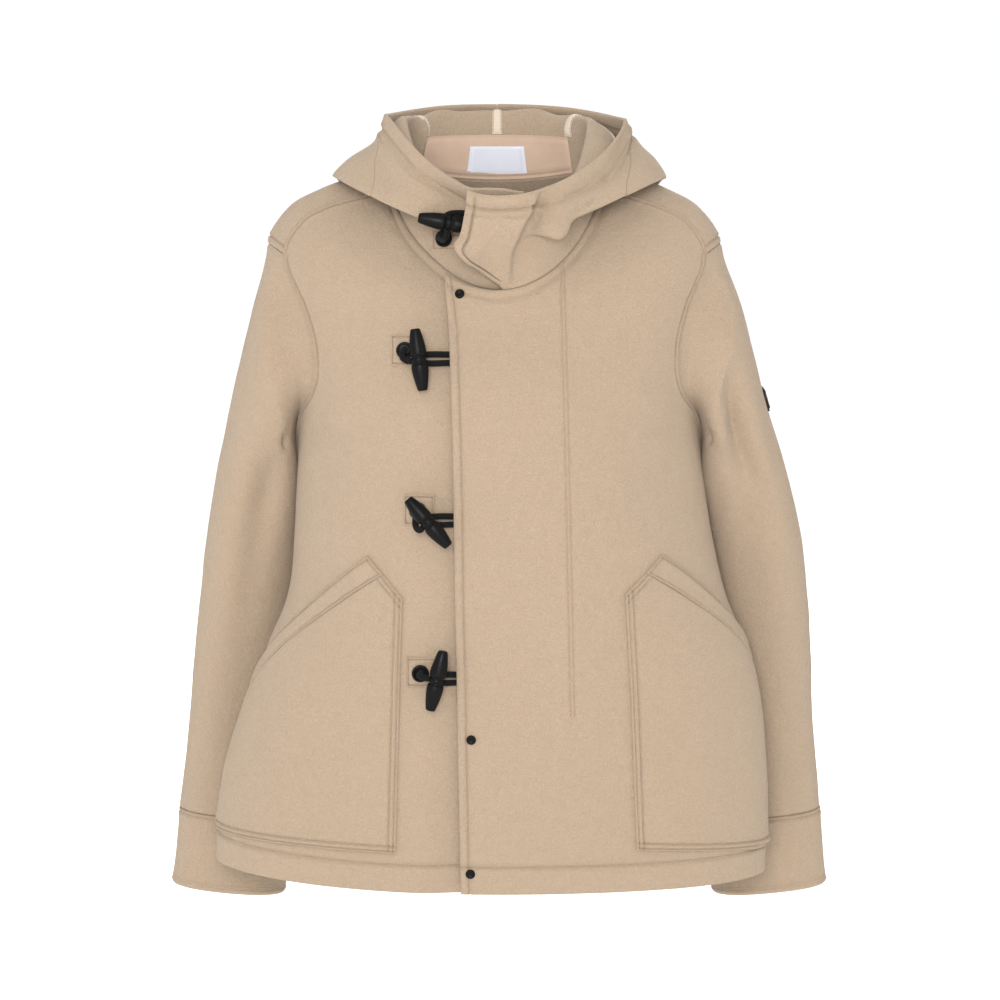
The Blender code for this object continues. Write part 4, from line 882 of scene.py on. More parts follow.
def facing_line(v):
    """The angle of the double line of stitches that holds the left front's inner facing."""
    z = torso.point(np.full(np.shape(v), FACING_LINE_ANGLE), v)[..., 2]
    (low_x, low_z), (high_x, high_z) = FACING_LINE_LOW, FACING_LINE_HIGH
    return torso.u_at_x(lerp(low_x, high_x, (z - low_z) / (high_z - low_z)), v)


def add_bar_tacks(cloth):
    """Two short upright bars of close stitches at the lower end of the double line."""
    v = np.linspace(FACING_LINE_LOW_ROW, FACING_LINE_LOW_ROW + BAR_ROWS, 4)
    middle = facing_line(v)
    for line in FACING_STITCHES:
        for offset in BAR_OFFSETS:
            cloth.pending.append((middle + torso.degrees(middle, v, line + offset), v))


def make_front_left():
    columns = ((lambda v: torso.u_at_x(placket_x(v), v), edge_lines(PLACKET_STITCH), 30),
               (facing_line, FACING_LINES, 44), (side_edge(front_outer, -1), backward(SEAM_LINES), 0))
    cloth = Cloth("front_left", torso, columns, BODY_ROWS, creases=FRONT_CREASES, seed=5.0,
                  seams=(("column", 2), ("row", 3)))
    armhole_stitches(cloth, 2, -1)
    cloth.stitch("column", 2, -YOKE_STITCH, TIP, NECK)
    for offset in FACING_STITCHES:
        cloth.stitch("column", 1, offset, FACING_LINE_LOW_ROW, NECK, FAINT)
    add_bar_tacks(cloth)
    hem_and_neck_stitches(cloth)
    cloth.stitch("column", 0, PLACKET_STITCH)
    return cloth.build(WOOL)


def make_back():
    """The back and both shoulders in one piece, which comes over to the shoulder seams in front."""
    inner, corner = ARMHOLE_STITCHES[1], float(ARMHOLE[-1, 1])
    edge = side_edge(lambda v: np.where(v <= ARMPIT, 90.0, armhole(np.clip(v, ARMPIT, TIP), 1)), 1)
    seam = side_edge(yoke_angle, 1)
    lines = edge_lines(inner)
    columns = ((seam, PLAIN_LINES, 16), (edge, lines, 52), (lambda v: np.full(v.shape, 180.0), (0.0,), 52),
               (lambda v: 360.0 - edge(v), backward(lines), 16), (lambda v: 360.0 - seam(v), backward(PLAIN_LINES), 0))
    rows_up = ((0.0, HEM_LINES, 92), (ARMPIT, (0.0,), 40), (TIP, lines, 20), (NECK, NECK_LINES, 0))
    cloth = Cloth("back", torso, columns, rows_up, creases=BACK_CREASES, seed=8.0,
                  seams=(("column", 0), ("column", 1), ("column", 3), ("column", 4), ("row", 2), ("row", 3)))
    cloth.edges = [("column", 1, 1, -1.0, TIP), ("column", 3, -1, -1.0, TIP), ("column", 0, 1, TIP, NECK + 1),
                   ("column", 4, -1, TIP, NECK + 1), ("row", 0, 1, *EVERYWHERE), ("row", 3, -1, *EVERYWHERE),
                   ("row", 2, 1, 0.0, corner), ("row", 2, 1, 360.0 - corner, 360.0)]
    cloth.stitch("column", 1, inner, ARMPIT - 0.2, TIP)
    cloth.stitch("column", 3, -inner, ARMPIT - 0.2, TIP)
    cloth.stitch("row", 2, inner, 0.0, corner)
    cloth.stitch("row", 2, inner, 360.0 - corner, 360.0)
    hem_and_neck_stitches(cloth, 90.0, 270.0)
    # Below the shoulder tips there is no cloth beyond the armholes.
    first = next(n for n, line in enumerate(cloth.column_lines) if line[0] == 1)
    last = next(n for n, line in enumerate(cloth.column_lines) if line[0] == 3 and line[1] == 0.0)
    tip = next(n for n, line in enumerate(cloth.row_lines) if line[0] == 2)
    row, column = np.indices((cloth.u.shape[0] - 1, cloth.u.shape[1] - 1))
    return cloth.build(WOOL, keep=(row >= tip) | ((column >= first) & (column < last)))


# ---------------------------------------------------------------- sleeves
CAP_ROWS, CAP_SMOOTHING = 22, 14
SLEEVE_SQUARE = 0.86  # a little squarer round than an ellipse
UNDERARM_TUCK = {-1: (0.0062, 0.0068, 0.0045, 0.002, 0.0), 1: (0.0022, 0.003, 0.003, 0.0015, 0.0)}
UNDERARM_PULL = 0.012
ARMHOLE_POINTS = 46  # down its front, and as many up its back
SHOULDER_POINTS = 24
CUFF_TOP_STITCH, CUFF_STITCH = 0.0035, 0.0065
SLEEVE_DROP, CUFF_DROP = 0.050, 0.040  # metres for each row near the cuff's seam and on the cuff
SLEEVE_WAVES, SETTLED = (0.0012, 0.0004), 0.02
SLEEVE_CREASES = {
    -1: (
        ((-0.206, -0.040, -0.262), (-0.222, -0.050, -0.222), 0.006, -0.0060),
        ((-0.222, -0.040, -0.240), (-0.266, 0.005, -0.520), 0.017, -0.0150),
        ((-0.262, -0.020, -0.290), (-0.290, 0.015, -0.470), 0.018, 0.0025),
        ((-0.300, 0.050, -0.440), (-0.235, 0.040, -0.470), 0.013, -0.0022),
        ((-0.305, 0.060, -0.520), (-0.240, 0.040, -0.560), 0.014, -0.0018),
        ((-0.300, 0.030, -0.560), (-0.262, 0.045, -0.680), 0.018, 0.0016),
        ((-0.240, 0.150, -0.380), (-0.300, 0.140, -0.450), 0.014, -0.0060),
        ((-0.230, 0.160, -0.460), (-0.310, 0.145, -0.500), 0.013, -0.0054),
        ((-0.235, 0.130, -0.300), (-0.290, 0.120, -0.370), 0.014, -0.0050),
    ),
    1: (
        ((0.222, -0.060, -0.150), (0.264, -0.045, -0.310), 0.013, -0.0170),
        ((0.212, -0.060, -0.185), (0.246, -0.050, -0.320), 0.010, 0.0060),
        ((0.246, -0.045, -0.250), (0.280, -0.030, -0.370), 0.017, -0.0110),
        ((0.262, -0.050, -0.190), (0.285, -0.030, -0.300), 0.015, 0.0040),
        ((0.206, -0.040, -0.254), (0.228, -0.050, -0.226), 0.005, -0.0060),
        ((0.205, -0.030, -0.299), (0.226, -0.035, -0.292), 0.005, -0.0045),
        ((0.228, -0.030, -0.380), (0.266, 0.015, -0.520), 0.016, -0.0080),
        ((0.246, -0.030, -0.290), (0.252, 0.000, -0.430), 0.012, -0.0040),
        ((0.285, -0.020, -0.300), (0.300, 0.020, -0.480), 0.018, 0.0022),
        ((0.330, 0.060, -0.450), (0.250, 0.040, -0.500), 0.013, -0.0020),
        ((0.325, 0.060, -0.560), (0.270, 0.045, -0.600), 0.014, -0.0018),
        ((0.250, 0.150, -0.370), (0.315, 0.140, -0.430), 0.014, -0.0058),
        ((0.240, 0.160, -0.470), (0.325, 0.145, -0.520), 0.013, -0.0052),
        ((0.240, 0.130, -0.290), (0.300, 0.120, -0.350), 0.014, -0.0054),
    ),
}


def armhole_loop(side):
    """The armhole's edge as outer points, inner points and directions into the hole, from the
    shoulder tip's front corner down the front, up the back and over the top."""
    down, up = np.linspace(TIP, ARMPIT, ARMHOLE_POINTS + 1), np.linspace(ARMPIT, TIP, ARMHOLE_POINTS + 1)[1:]
    top = np.linspace(ARMHOLE[-1, 1], ARMHOLE[-1, 0], SHOULDER_POINTS + 1)[1:-1]
    u = side * np.concatenate((armhole(down, 0), armhole(up, 1), top))
    v = np.concatenate((down, up, np.full(top.shape, TIP)))
    points, normals = torso.point(u, v), torso.own_normal(u, v)
    along = np.roll(points, -1, axis=0) - np.roll(points, 1, axis=0)
    return points, points - normals * CLOTH, unit(np.cross(normals, along)) * side


def loop_angles(points):
    """The loop's points as angles round a sleeve: 0 at the top, half a turn at the armpit."""
    lengths = np.linalg.norm(points - np.roll(points, 1, axis=0), axis=1)
    along = np.concatenate(((0.0,), np.cumsum(lengths[1:])))
    whole, down = lengths.sum(), along[ARMHOLE_POINTS]
    shoulder = lengths[-(SHOULDER_POINTS - 1):].sum() + lengths[0]
    half = shoulder / 2.0
    front = lerp(half / (down + half), 1.0, along / down)
    back = 1.0 + (along - down) / (whole - down - half)
    return np.pi * np.where(along <= down, front, back)


def sleeve_ring(v, angles, side):
    """Points round a sleeve, from its outer line over its front to its inner line, for rows v."""
    outer_x, outer_y, outer_z, inner_x, inner_y, inner_z, depth, left_out = np.moveaxis(
        rows(SLEEVE, np.atleast_1d(np.asarray(v, float))), -1, 0)
    out = left_out if side > 0 else 0.0 * left_out
    inner_x = inner_x - np.interp(v, np.arange(len(UNDERARM_TUCK[side])), UNDERARM_TUCK[side])
    outer = np.stack((side * (outer_x + out), outer_y, outer_z), -1)[:, None]
    inner = np.stack((side * (inner_x + out), inner_y, inner_z), -1)[:, None]
    forward = np.stack((0.0 * depth, depth, 0.0 * depth), -1)[:, None]
    angles = angles[None, :, None]
    across, ahead = (signed_power(each, SLEEVE_SQUARE) for each in (np.cos(angles), np.sin(angles)))
    return (outer + inner) / 2.0 + (outer - inner) / 2.0 * across - forward * ahead


def cap_rows(side, seam, into, angles):
    first, second = sleeve_ring(0.0, angles, side)[0], sleeve_ring(0.25, angles, side)[0]
    reach = np.maximum(UNDERARM_PULL, np.linalg.norm(first - seam, axis=1))[:, None]
    ahead = unit(second - first) * reach
    for row, t in enumerate(np.linspace(0.0, 1.0, CAP_ROWS, endpoint=False)):
        ring = (seam * (2 * t**3 - 3 * t * t + 1) + into * reach * (t**3 - 2 * t * t + t)
                + first * (3 * t * t - 2 * t**3) + ahead * (t**3 - t * t))
        for _ in range(min(3 * row, CAP_SMOOTHING, CAP_ROWS - row)):  # the armhole's corners soften away from it
            ring = ring / 2.0 + (np.roll(ring, 1, axis=0) + np.roll(ring, -1, axis=0)) / 4.0
        yield ring


def build_tube(name, points, side, seam_inner=None, stitches=(), seed=1.0):
    """A tube of cloth through rows of points. stitches are (whether from its end, metres from there)."""
    around = np.roll(points, -1, axis=1) - np.roll(points, 1, axis=1)
    normals = unit(np.cross(around, np.gradient(points, axis=0))) * side
    run = np.concatenate((np.zeros((1, points.shape[1])),
                          np.cumsum(np.linalg.norm(np.diff(points, axis=0), axis=-1), axis=0)))
    broad = crease_field(points, SLEEVE_CREASES[side])
    height = broad + uneven(points, BROAD_WAVE, SLEEVE_WAVES[0], seed)
    height = height + uneven(points, FINE_WAVE, SLEEVE_WAVES[1], seed + 9.0)
    settled = ease(run / SETTLED) if seam_inner is not None else np.ones_like(run)  # nothing moves at the armhole
    height = height * settled
    for away in (run, run[-1] - run):
        height -= ROUND_DROP * rounding(away)
    lines = []
    for from_end, offset in stitches:
        away = np.abs((run[-1] - run if from_end else run) - offset)
        height += puff(away)
        height += groove(away)
        lines.append(np.argmin(away.mean(axis=1)))
    outer = points + normals * height[..., None]
    inner = points - normals * (CLOTH - broad[..., None] * settled[..., None])
    if seam_inner is not None:
        inner[0] = seam_inner
    cells = grid_cells(*points.shape[:2], closed=True)
    corners = outer.reshape(-1, 3)[cells]
    own = np.cross(corners[:, 1] - corners[:, 0], corners[:, 2] - corners[:, 0])
    if np.einsum("ij,ij->i", own, normals.reshape(-1, 3)[cells[:, 0]]).mean() < 0:
        cells = cells[:, ::-1]
    for line in lines:
        loop = np.concatenate((outer[line], outer[line][:1]))
        stitch_rows["sleeves"].append((loop, np.concatenate((normals[line], normals[line][:1]))))
    mesh = shell_mesh(name, outer.reshape(-1, 3), inner.reshape(-1, 3), cells)
    add_object(name + "_cloth", mesh, WOOL, (name,))
    return outer, cells


def lines_down(start, end, low_lines, high_lines, steps, drop):
    """Row numbers from start to end with extra ones near both ends. drop is metres for each row."""
    low = [start + line / drop for line in low_lines]
    high = [end - line / drop for line in reversed(high_lines)]
    between = np.linspace(low[-1], high[0], steps + 1)[1:-1]
    return np.concatenate((low, between, high))


def make_sleeve(side, name):
    seam, inner_seam, into = armhole_loop(side)
    angles = loop_angles(seam)
    rings = list(cap_rows(side, seam + into * SEAM_GAP, into, angles))
    near_cuff = lines_down(0.0, CUFF_SEAM, (0.0,), PLAIN_LINES, 112, SLEEVE_DROP)
    rings += list(sleeve_ring(near_cuff, angles, side))
    sleeve = build_tube(f"sleeve_{name}", np.array(rings), side, inner_seam + into * CURVED_GAP, seed=11.0 + side)
    levels = lines_down(CUFF_SEAM + SEAM_GAP / CUFF_DROP, CUFF_END, edge_lines(CUFF_TOP_STITCH),
                        edge_lines(CUFF_STITCH), 14, CUFF_DROP)
    build_tube(f"cuff_{name}", sleeve_ring(levels, angles, side), side,
               stitches=((False, CUFF_TOP_STITCH), (True, CUFF_STITCH)), seed=15.0 + side)
    return sleeve


# ---------------------------------------------------------------- hood
RIM_STITCH, RIM_STRENGTH = 0.0082, 1.7  # the flap's edge has the same stitches
FLAP_STITCH_LOW, FLAP_STITCH_HIGH = 0.6, 9.4
HOOD_ROWS = ((0.0, PLAIN_LINES, 22), (INNER_FOLD_ROW, (0.0,), 66), (6.0, (0.0,), 36), (RIM_ROW, (0.0,), 26),
             (10.0, backward(edge_lines(RIM_STITCH)), 0))
CREASE_LINES = tuple(k * 0.0015 for k in range(-5, 14))
FLAP_CREASES = (  # beside the flap, and round the lump where the roll ends
    ((0.046, -0.120, 0.000), (0.031, -0.120, -0.040), 0.006, -0.0026),
    ((0.031, -0.118, -0.036), (0.021, -0.116, -0.074), 0.006, -0.0022),
    ((0.073, -0.100, -0.020), (0.068, -0.108, -0.042), 0.006, -0.0050),
    ((0.070, -0.108, -0.040), (0.044, -0.116, -0.050), 0.006, -0.0036),
    ((0.056, -0.114, -0.022), (0.056, -0.114, -0.040), 0.010, 0.0040),
)
HOOD_CREASES = (
    ((-0.150, -0.040, -0.005), (-0.060, -0.120, -0.050), 0.012, 0.0016),
    ((-0.140, -0.060, 0.030), (-0.070, -0.110, 0.000), 0.014, -0.0020),
    ((0.150, -0.040, -0.005), (0.080, -0.110, -0.040), 0.013, 0.0018),
    ((0.130, -0.070, 0.035), (0.070, -0.115, -0.002), 0.014, -0.0022),
    ((-0.085, 0.150, -0.120), (-0.030, 0.165, 0.010), 0.018, -0.0060),
    ((0.095, 0.150, -0.110), (0.040, 0.165, 0.000), 0.018, -0.0056),
    ((0.010, 0.165, -0.170), (0.000, 0.165, -0.040), 0.022, 0.0030),
    ((-0.110, 0.120, -0.060), (-0.060, 0.150, 0.040), 0.014, 0.0040),
    ((0.115, 0.120, -0.050), (0.070, 0.150, 0.040), 0.014, 0.0036),
)


def make_hood():
    def seam(side, sign):
        return lambda v: sign * hood_seam(v, side)

    def middle(v):
        return 180.0 - hood.degrees(180.0 + 0.0 * v, v, MIDDLE_GAP)

    def piece(name, seed, columns, seams, creases=HOOD_CREASES, **free):
        return Cloth(name, hood, columns, HOOD_ROWS, creases=creases, seed=seed, part="hood",
                     seams=(*(("column", k) for k in seams), ("row", 0)), hem=RIM_STITCH, **free)

    ends = backward(PLAIN_LINES)
    right = piece("hood_side_right", 21.0, (
        (seam(1, -1.0), PLAIN_LINES, 44),
        (lambda v: hood.u_at_x(COLLAR_END, v), backward(edge_lines(UNDERLAP_STITCH)), 0),
    ), (0,), push=collar_push, sag=collar_sag)
    left = piece("hood_side_left", 23.0, (
        (lambda v: hood.u_at_x(rows(FLAP_EDGE, v), v), edge_lines(RIM_STITCH), 12),
        (crease_angle, CREASE_LINES, 40), (seam(1, 1.0), ends, 0),
    ), (2,), HOOD_CREASES + FLAP_CREASES, push=flap_push, sag=flap_sag)
    back_left = piece("hood_back_left", 25.0, ((seam(-1, 1.0), PLAIN_LINES, 44), (middle, ends, 0)), (0, 1))
    back_right = piece("hood_back_right", 27.0,
                       ((lambda v: -middle(v), PLAIN_LINES, 44), (seam(-1, -1.0), ends, 0)), (0, 1))
    left.stitch("column", 0, RIM_STITCH, FLAP_STITCH_LOW, FLAP_STITCH_HIGH, RIM_STRENGTH)
    made = {}
    for cloth in (right, left, back_left, back_right):
        cloth.stitch("row", 4, -RIM_STITCH, strength=RIM_STRENGTH)
        made[cloth.name] = cloth.build(WOOL)
    return made


FINE_STITCH, TAPE_STITCH = 0.0022, 0.0008
FACING_CLOTH, LABEL_CLOTH, TAPE_CLOTH = 0.001, 0.0006, 0.0007
TAPE_HALF_WIDTH, TAPE_GAP = 0.0052, 0.0003
TAPE_LOW, TAPE_HIGH, SIDE_TAPE_HIGH = 1.50, 9.20, 8.0


def make_inside_of_neck():
    """The smooth facing inside the back of the neck, the blank label on it and the hood's tapes."""
    around, back_around = edge_lines(FINE_STITCH), backward(edge_lines(FINE_STITCH))

    def level(value):
        return lambda v: np.full(v.shape, value)

    def beside(angle, sign, width):
        return lambda v: angle(v) + sign * hood.degrees(angle(v), v, width)

    def piece(name, columns, levels, seed, wave, lift, thickness):
        return Cloth(name, hood, columns, levels, seed=seed, wave=wave, lift=lift, thickness=thickness,
                     inside=True, part="hood")

    ends = ((level(FACING_SIDE), (0.0, 0.0006), 40), (level(360.0 - FACING_SIDE), (-0.0006, 0.0), 0))
    facing = piece("neck_facing", ends,
                   ((FACING_LOW, around, 8), (FACING_HIGH, back_around, 0)), 31.0, 0.0002, -FACING_DEPTH, FACING_CLOTH)
    facing.stitch("row", 0, FINE_STITCH)
    facing.stitch("row", 1, -FINE_STITCH)
    facing.build(FACING, slot="facing")

    middle = level(180.0)
    label = piece("neck_label", ((beside(middle, -1, LABEL_HALF_WIDTH), around, 22),
                                 (beside(middle, 1, LABEL_HALF_WIDTH), back_around, 0)),
                  ((LABEL_LOW, around, 6), (LABEL_HIGH, back_around, 0)), 33.0, 0.0002,
                  -FACING_DEPTH - FACING_CLOTH - TOUCH, LABEL_CLOTH)
    label.stitch("column", 0, FINE_STITCH)
    label.stitch("column", 1, -FINE_STITCH)
    label.build(LABEL, slot="label")

    for name, angle, high in (("tape_middle", middle, TAPE_HIGH),
                              ("tape_left", lambda v: rows(HOOD_SEAM, v), SIDE_TAPE_HIGH),
                              ("tape_right", lambda v: 360.0 - rows(HOOD_SEAM, v), SIDE_TAPE_HIGH)):
        lines = (0.0, TAPE_STITCH, FINE_STITCH)
        tape = piece(name, ((beside(angle, -1, TAPE_HALF_WIDTH), lines, 2),
                            (beside(angle, 1, TAPE_HALF_WIDTH), backward(lines), 0)),
                     ((TAPE_LOW, (0.0, 0.0006), 90), (high, (-0.0006, 0.0), 0)), 35.0, 0.0003,
                     -(CLOTH + TAPE_GAP), TAPE_CLOTH)
        tape.stitch("column", 0, TAPE_STITCH, strength=0.0)
        tape.stitch("column", 1, -TAPE_STITCH, strength=0.0)
        tape.build(TAPE, slot="facing", suffix="", replaced=False)

# ---------------------------------------------------------------- pieces laid on the cloth
MARGIN = 0.02
CORNER, CORNER_SLACK = 0.002, 0.0005  # a row of stitches ends this far from the edges across it
SMALLEST = 0.00015
LAID_WAVES = (0.0003, 0.0007)


def cut_by(build, point, out, clear=False):
    everything = build.verts[:] + build.edges[:] + build.faces[:]
    bmesh.ops.bisect_plane(build, geom=everything, plane_co=point, plane_no=out, clear_outer=clear)


def cut_sheet(carrier, planes, stitches):
    """The carrier's outside within all the planes, with grid lines along the rows of stitches."""
    outer, cells = carrier
    points = outer.reshape(-1, 3)
    centres = points[cells].mean(axis=1)
    near = np.all([(centres - point) @ out < MARGIN for point, out in planes], axis=0)
    used, numbers = np.unique(cells[near], return_inverse=True)
    build = bmesh.new()
    corners = [build.verts.new(p) for p in points[used]]
    for cell in numbers.reshape(-1, 4).tolist():
        build.faces.new([corners[k] for k in cell])
    for point, out in planes:
        cut_by(build, point, out, True)
    for (point, out), rows_beside in zip(planes, stitches):
        for line in (edge_lines(*rows_beside) if rows_beside else (0.0006, 0.0013))[1:]:
            cut_by(build, point - out * line, out)
    bmesh.ops.dissolve_degenerate(build, edges=build.edges, dist=SMALLEST)
    build.normal_update()
    return build


def laid_piece(name, carrier, planes, thickness, material, stitches, part="pockets", seed=41.0):
    """A piece that lies on a cloth: the cloth's outside within all the planes, moved out. Each plane
    is a point on it and a direction out of the piece, and stitches gives the rows beside each."""
    planes = [(np.array(point, float), np.array(out, float)) for point, out in planes]
    build = cut_sheet(carrier, planes, stitches)
    low = build.verts[:]
    place = np.array([vert.co for vert in low])
    normal = np.array([vert.normal for vert in low])
    inward = np.array([-(place - point) @ out for point, out in planes])
    nearest = inward.min(axis=0)
    height = TOUCH + thickness + uneven(place, FINE_WAVE, LAID_WAVES[0], seed)
    height = height + uneven(place, BROAD_WAVE, LAID_WAVES[1], seed) - ROUND_DROP * rounding(nearest)
    sewn = [(away, out, offset, nearest > min(offset, CORNER) - CORNER_SLACK)
            for away, (_, out), rows_beside in zip(inward, planes, stitches) for offset in rows_beside]
    for away, _, offset, shown in sewn:
        height = height + groove(np.abs(away - offset)) * shown
        height = height + puff(np.abs(away - offset))
    top = place + normal * height[:, None]
    for away, out, offset, shown in sewn:
        on_row = (np.abs(away - offset) < 3e-5) & shown
        if on_row.sum() > 2:
            along = unit(np.cross(out, normal[on_row].mean(axis=0)))
            order = np.argsort(place[on_row] @ along)
            stitch_rows[part].append((top[on_row][order], normal[on_row][order]))
    high = {vert: build.verts.new(p) for vert, p in zip(low, top)}
    sides = [(loop.vert, loop.link_loop_next.vert) for edge in build.edges if edge.is_boundary
             for loop in edge.link_loops]
    for face in build.faces[:]:
        build.faces.new([high[vert] for vert in face.verts])
        face.normal_flip()
    for start, end in sides:
        build.faces.new((start, end, high[end], high[start]))
    for vert, n in zip(low, normal):
        vert.co += Vector(n * 0.0001)  # off the carrier
    mesh = bpy.data.meshes.new(name)
    build.to_mesh(mesh)
    build.free()
    smooth(mesh, CLOTH_SHARP)
    add_object(name + "_cloth", mesh, material, (name,))


def box_planes(low, high):
    planes = []
    for out in np.eye(3):
        planes += [(np.array(high, float), out), (np.array(low, float), -out)]
    return planes


def edge_plane(start, end, inside, gap=0.0):
    """The plane through two places on the body, square to the cloth midway between them, that faces
    away from the place inside."""
    (u1, v1), (u2, v2) = start, end
    middle = torso.own_normal(np.float64((u1 + u2) / 2.0), np.float64((v1 + v2) / 2.0))
    first, last = torso.point(u1, v1), torso.point(u2, v2)
    out = unit(np.cross(last - first, middle))
    if out @ (torso.point(*inside) - first) > 0.0:
        out = -out
    return first - out * gap, out


POCKET_STITCHES = (0.0023, 0.0072)
WELT_STITCHES = (0.0021,)  # also the patches'
TAB_STITCHES = (0.0015,)


def make_pocket(side, pocket, carrier):
    """A patch pocket with a slanted opening, and the welt that is sewn along the opening."""

    def at_front(corner):
        u, v = torso.find_front(corner[0], corner[1], 0.0, ARMPIT)
        return float(u), float(v)

    def at_side(z):
        return pocket["side_u"], float(torso.v_at_z(np.float64(pocket["side_u"]), np.float64(z), 0.0, ARMPIT))

    def midway(a, b):
        return tuple((p + q) / 2.0 for p, q in zip(a, b))

    low, bend, top, mouth = (at_front(pocket[key]) for key in ("low", "bend", "top", "mouth"))
    side_low, side_mouth, side_top = (at_side(pocket[key]) for key in ("side_low", "side_mouth", "side_top"))
    middle = midway(bend, side_low)
    bag = (edge_plane(low, side_low, middle), edge_plane(low, bend, middle), edge_plane(bend, mouth, middle),
           edge_plane(mouth, side_mouth, middle, HALF_GAP))
    laid_piece(f"pocket_{side}", carrier, bag, CLOTH, WOOL, (POCKET_STITCHES,) * 3 + ((),))
    on_welt = midway(mouth, side_top)
    welt = (edge_plane(mouth, side_mouth, on_welt, HALF_GAP), edge_plane(top, side_top, on_welt),
            edge_plane(mouth, top, on_welt))
    laid_piece(f"welt_{side}", carrier, welt, CLOTH, WOOL, (WELT_STITCHES,) * 3, seed=43.0)


# ---------------------------------------------------------------- toggles, buttons and press studs
def turned(name, profile, material, place, up, steps=40):
    """A piece turned round its axis from (radius, height) pairs, standing at a place along up."""
    radius, height = np.array(profile).T
    angles = np.linspace(0.0, math.tau, steps, endpoint=False)
    ring = np.stack((radius[:, None] * np.cos(angles), radius[:, None] * np.sin(angles),
                     np.repeat(height[:, None], steps, axis=1)), -1)
    mesh = bpy.data.meshes.new(name)
    cells = grid_cells(len(profile), steps, closed=True)
    mesh.from_pydata(ring.reshape(-1, 3).tolist(), [], cells.tolist())
    build = bmesh.new()
    build.from_mesh(mesh)
    bmesh.ops.remove_doubles(build, verts=build.verts[:], dist=1e-6)
    bmesh.ops.recalc_face_normals(build, faces=build.faces)
    build.to_mesh(mesh)
    build.free()
    smooth(mesh, TURNED_SHARP)
    turn = Vector(up).to_track_quat("Z", "Y").to_matrix().to_4x4()
    mesh.transform(Matrix.Translation(Vector(place)) @ turn)
    add_object(name + "_turned", mesh, material, (name,))


def axis_of(node, longest):
    """A turned solid's middle, its axis and its half length, read from the frame."""
    points = np.array([vertex.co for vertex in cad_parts[node].data.vertices])
    points = np.unique(points.round(6), axis=0)
    middle = points.mean(axis=0)
    axes = np.linalg.svd(points - middle, full_matrices=False)[2]
    axis = axes[0] if longest else axes[2]
    run = (points - middle) @ axis
    return middle + axis * (run.max() + run.min()) / 2.0, axis, (run.max() - run.min()) / 2.0


def seat_of(node):
    """Where a button or stud sits, and its axis away from the jacket."""
    middle, up, half = axis_of(node, False)
    up = up if up[1] < 0.0 else -up
    return middle - up * half, up


TOGGLE_HALF = (
    (0.00700, 0.0000), (0.00700, 0.0012), (0.00665, 0.0017), (0.00635, 0.0021), (0.00640, 0.0030), (0.00685, 0.0037),
    (0.00765, 0.0043), (0.00815, 0.0052), (0.00832, 0.0068), (0.00830, 0.0092), (0.00808, 0.0120), (0.00765, 0.0155),
    (0.00705, 0.0192), (0.00630, 0.0232), (0.00560, 0.0264), (0.00500, 0.0288), (0.00455, 0.0299), (0.00390, 0.0304),
    (0.00300, 0.0305), (0.0, 0.0305),
)
BUTTON_PROFILE = (
    (0.0, 0.0), (0.0076, 0.0), (0.0082, 0.0003), (0.0085, 0.0009), (0.0085, 0.0029), (0.0083, 0.0036),
    (0.0077, 0.0041), (0.0070, 0.0042), (0.0063, 0.0040), (0.0057, 0.0035), (0.0050, 0.0033), (0.0026, 0.0033),
    (0.0020, 0.0036), (0.0, 0.0037),
)
SNAP_PROFILE = (
    (0.0, 0.0), (0.0046, 0.0), (0.0048, 0.0003), (0.0048, 0.0009), (0.0045, 0.0014), (0.0039, 0.0019),
    (0.0033, 0.0021), (0.0028, 0.0020), (0.0023, 0.0016), (0.0012, 0.0015), (0.0, 0.0015),
)
CORD_RADIUS, TOGGLE_WAIST_RADIUS = 0.0031, 0.0064
LOOP_WIDTH, LOOP_CLEARANCE, LOOP_EDGE, LOOP_BEND, LOOP_CLOSE, LOOP_TURN = 0.0084, 0.0004, 0.002, 0.004, 0.003, 0.0065
LOOP_SHARES = (0.9, 0.95, 1.0, 0.8)  # of its width, from the placket's edge to its turn
TIE_FOOT, TIE_RISE, TIE_ARCH, TIE_REACH, TIE_END, TIE_BEND = 0.0034, 0.003, 0.006, 0.012, 0.005, 0.6
RAY_START = 0.06
TOGGLES = {  # x, z, how far the loop's ends go under the placket, how much higher the loop lies
    "throat": (-0.0475, -0.0270, 0.004, 0.005),
    "chest": (-0.0716, -0.1596, 0.009, 0.0),
    "waist": (-0.0618, -0.3175, 0.009, 0.0),
    "hip": (-0.0569, -0.4755, 0.009, 0.0),
}


def cord(name, path):
    """A round cord through the points of its path."""
    curve = bpy.data.curves.new(name, "CURVE")
    curve.dimensions = "3D"
    curve.bevel_depth, curve.bevel_resolution = CORD_RADIUS, 4
    curve.use_fill_caps, curve.resolution_u = True, 10
    curve.materials.append(CORD)
    spline = curve.splines.new("BEZIER")
    spline.bezier_points.add(len(path) - 1)
    for knot, point in zip(spline.bezier_points, path):
        knot.co = Vector(point)
        knot.handle_left_type = knot.handle_right_type = "AUTO"
    made = link_object(name + "_cord", curve)
    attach(made, "root")
    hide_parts(name)


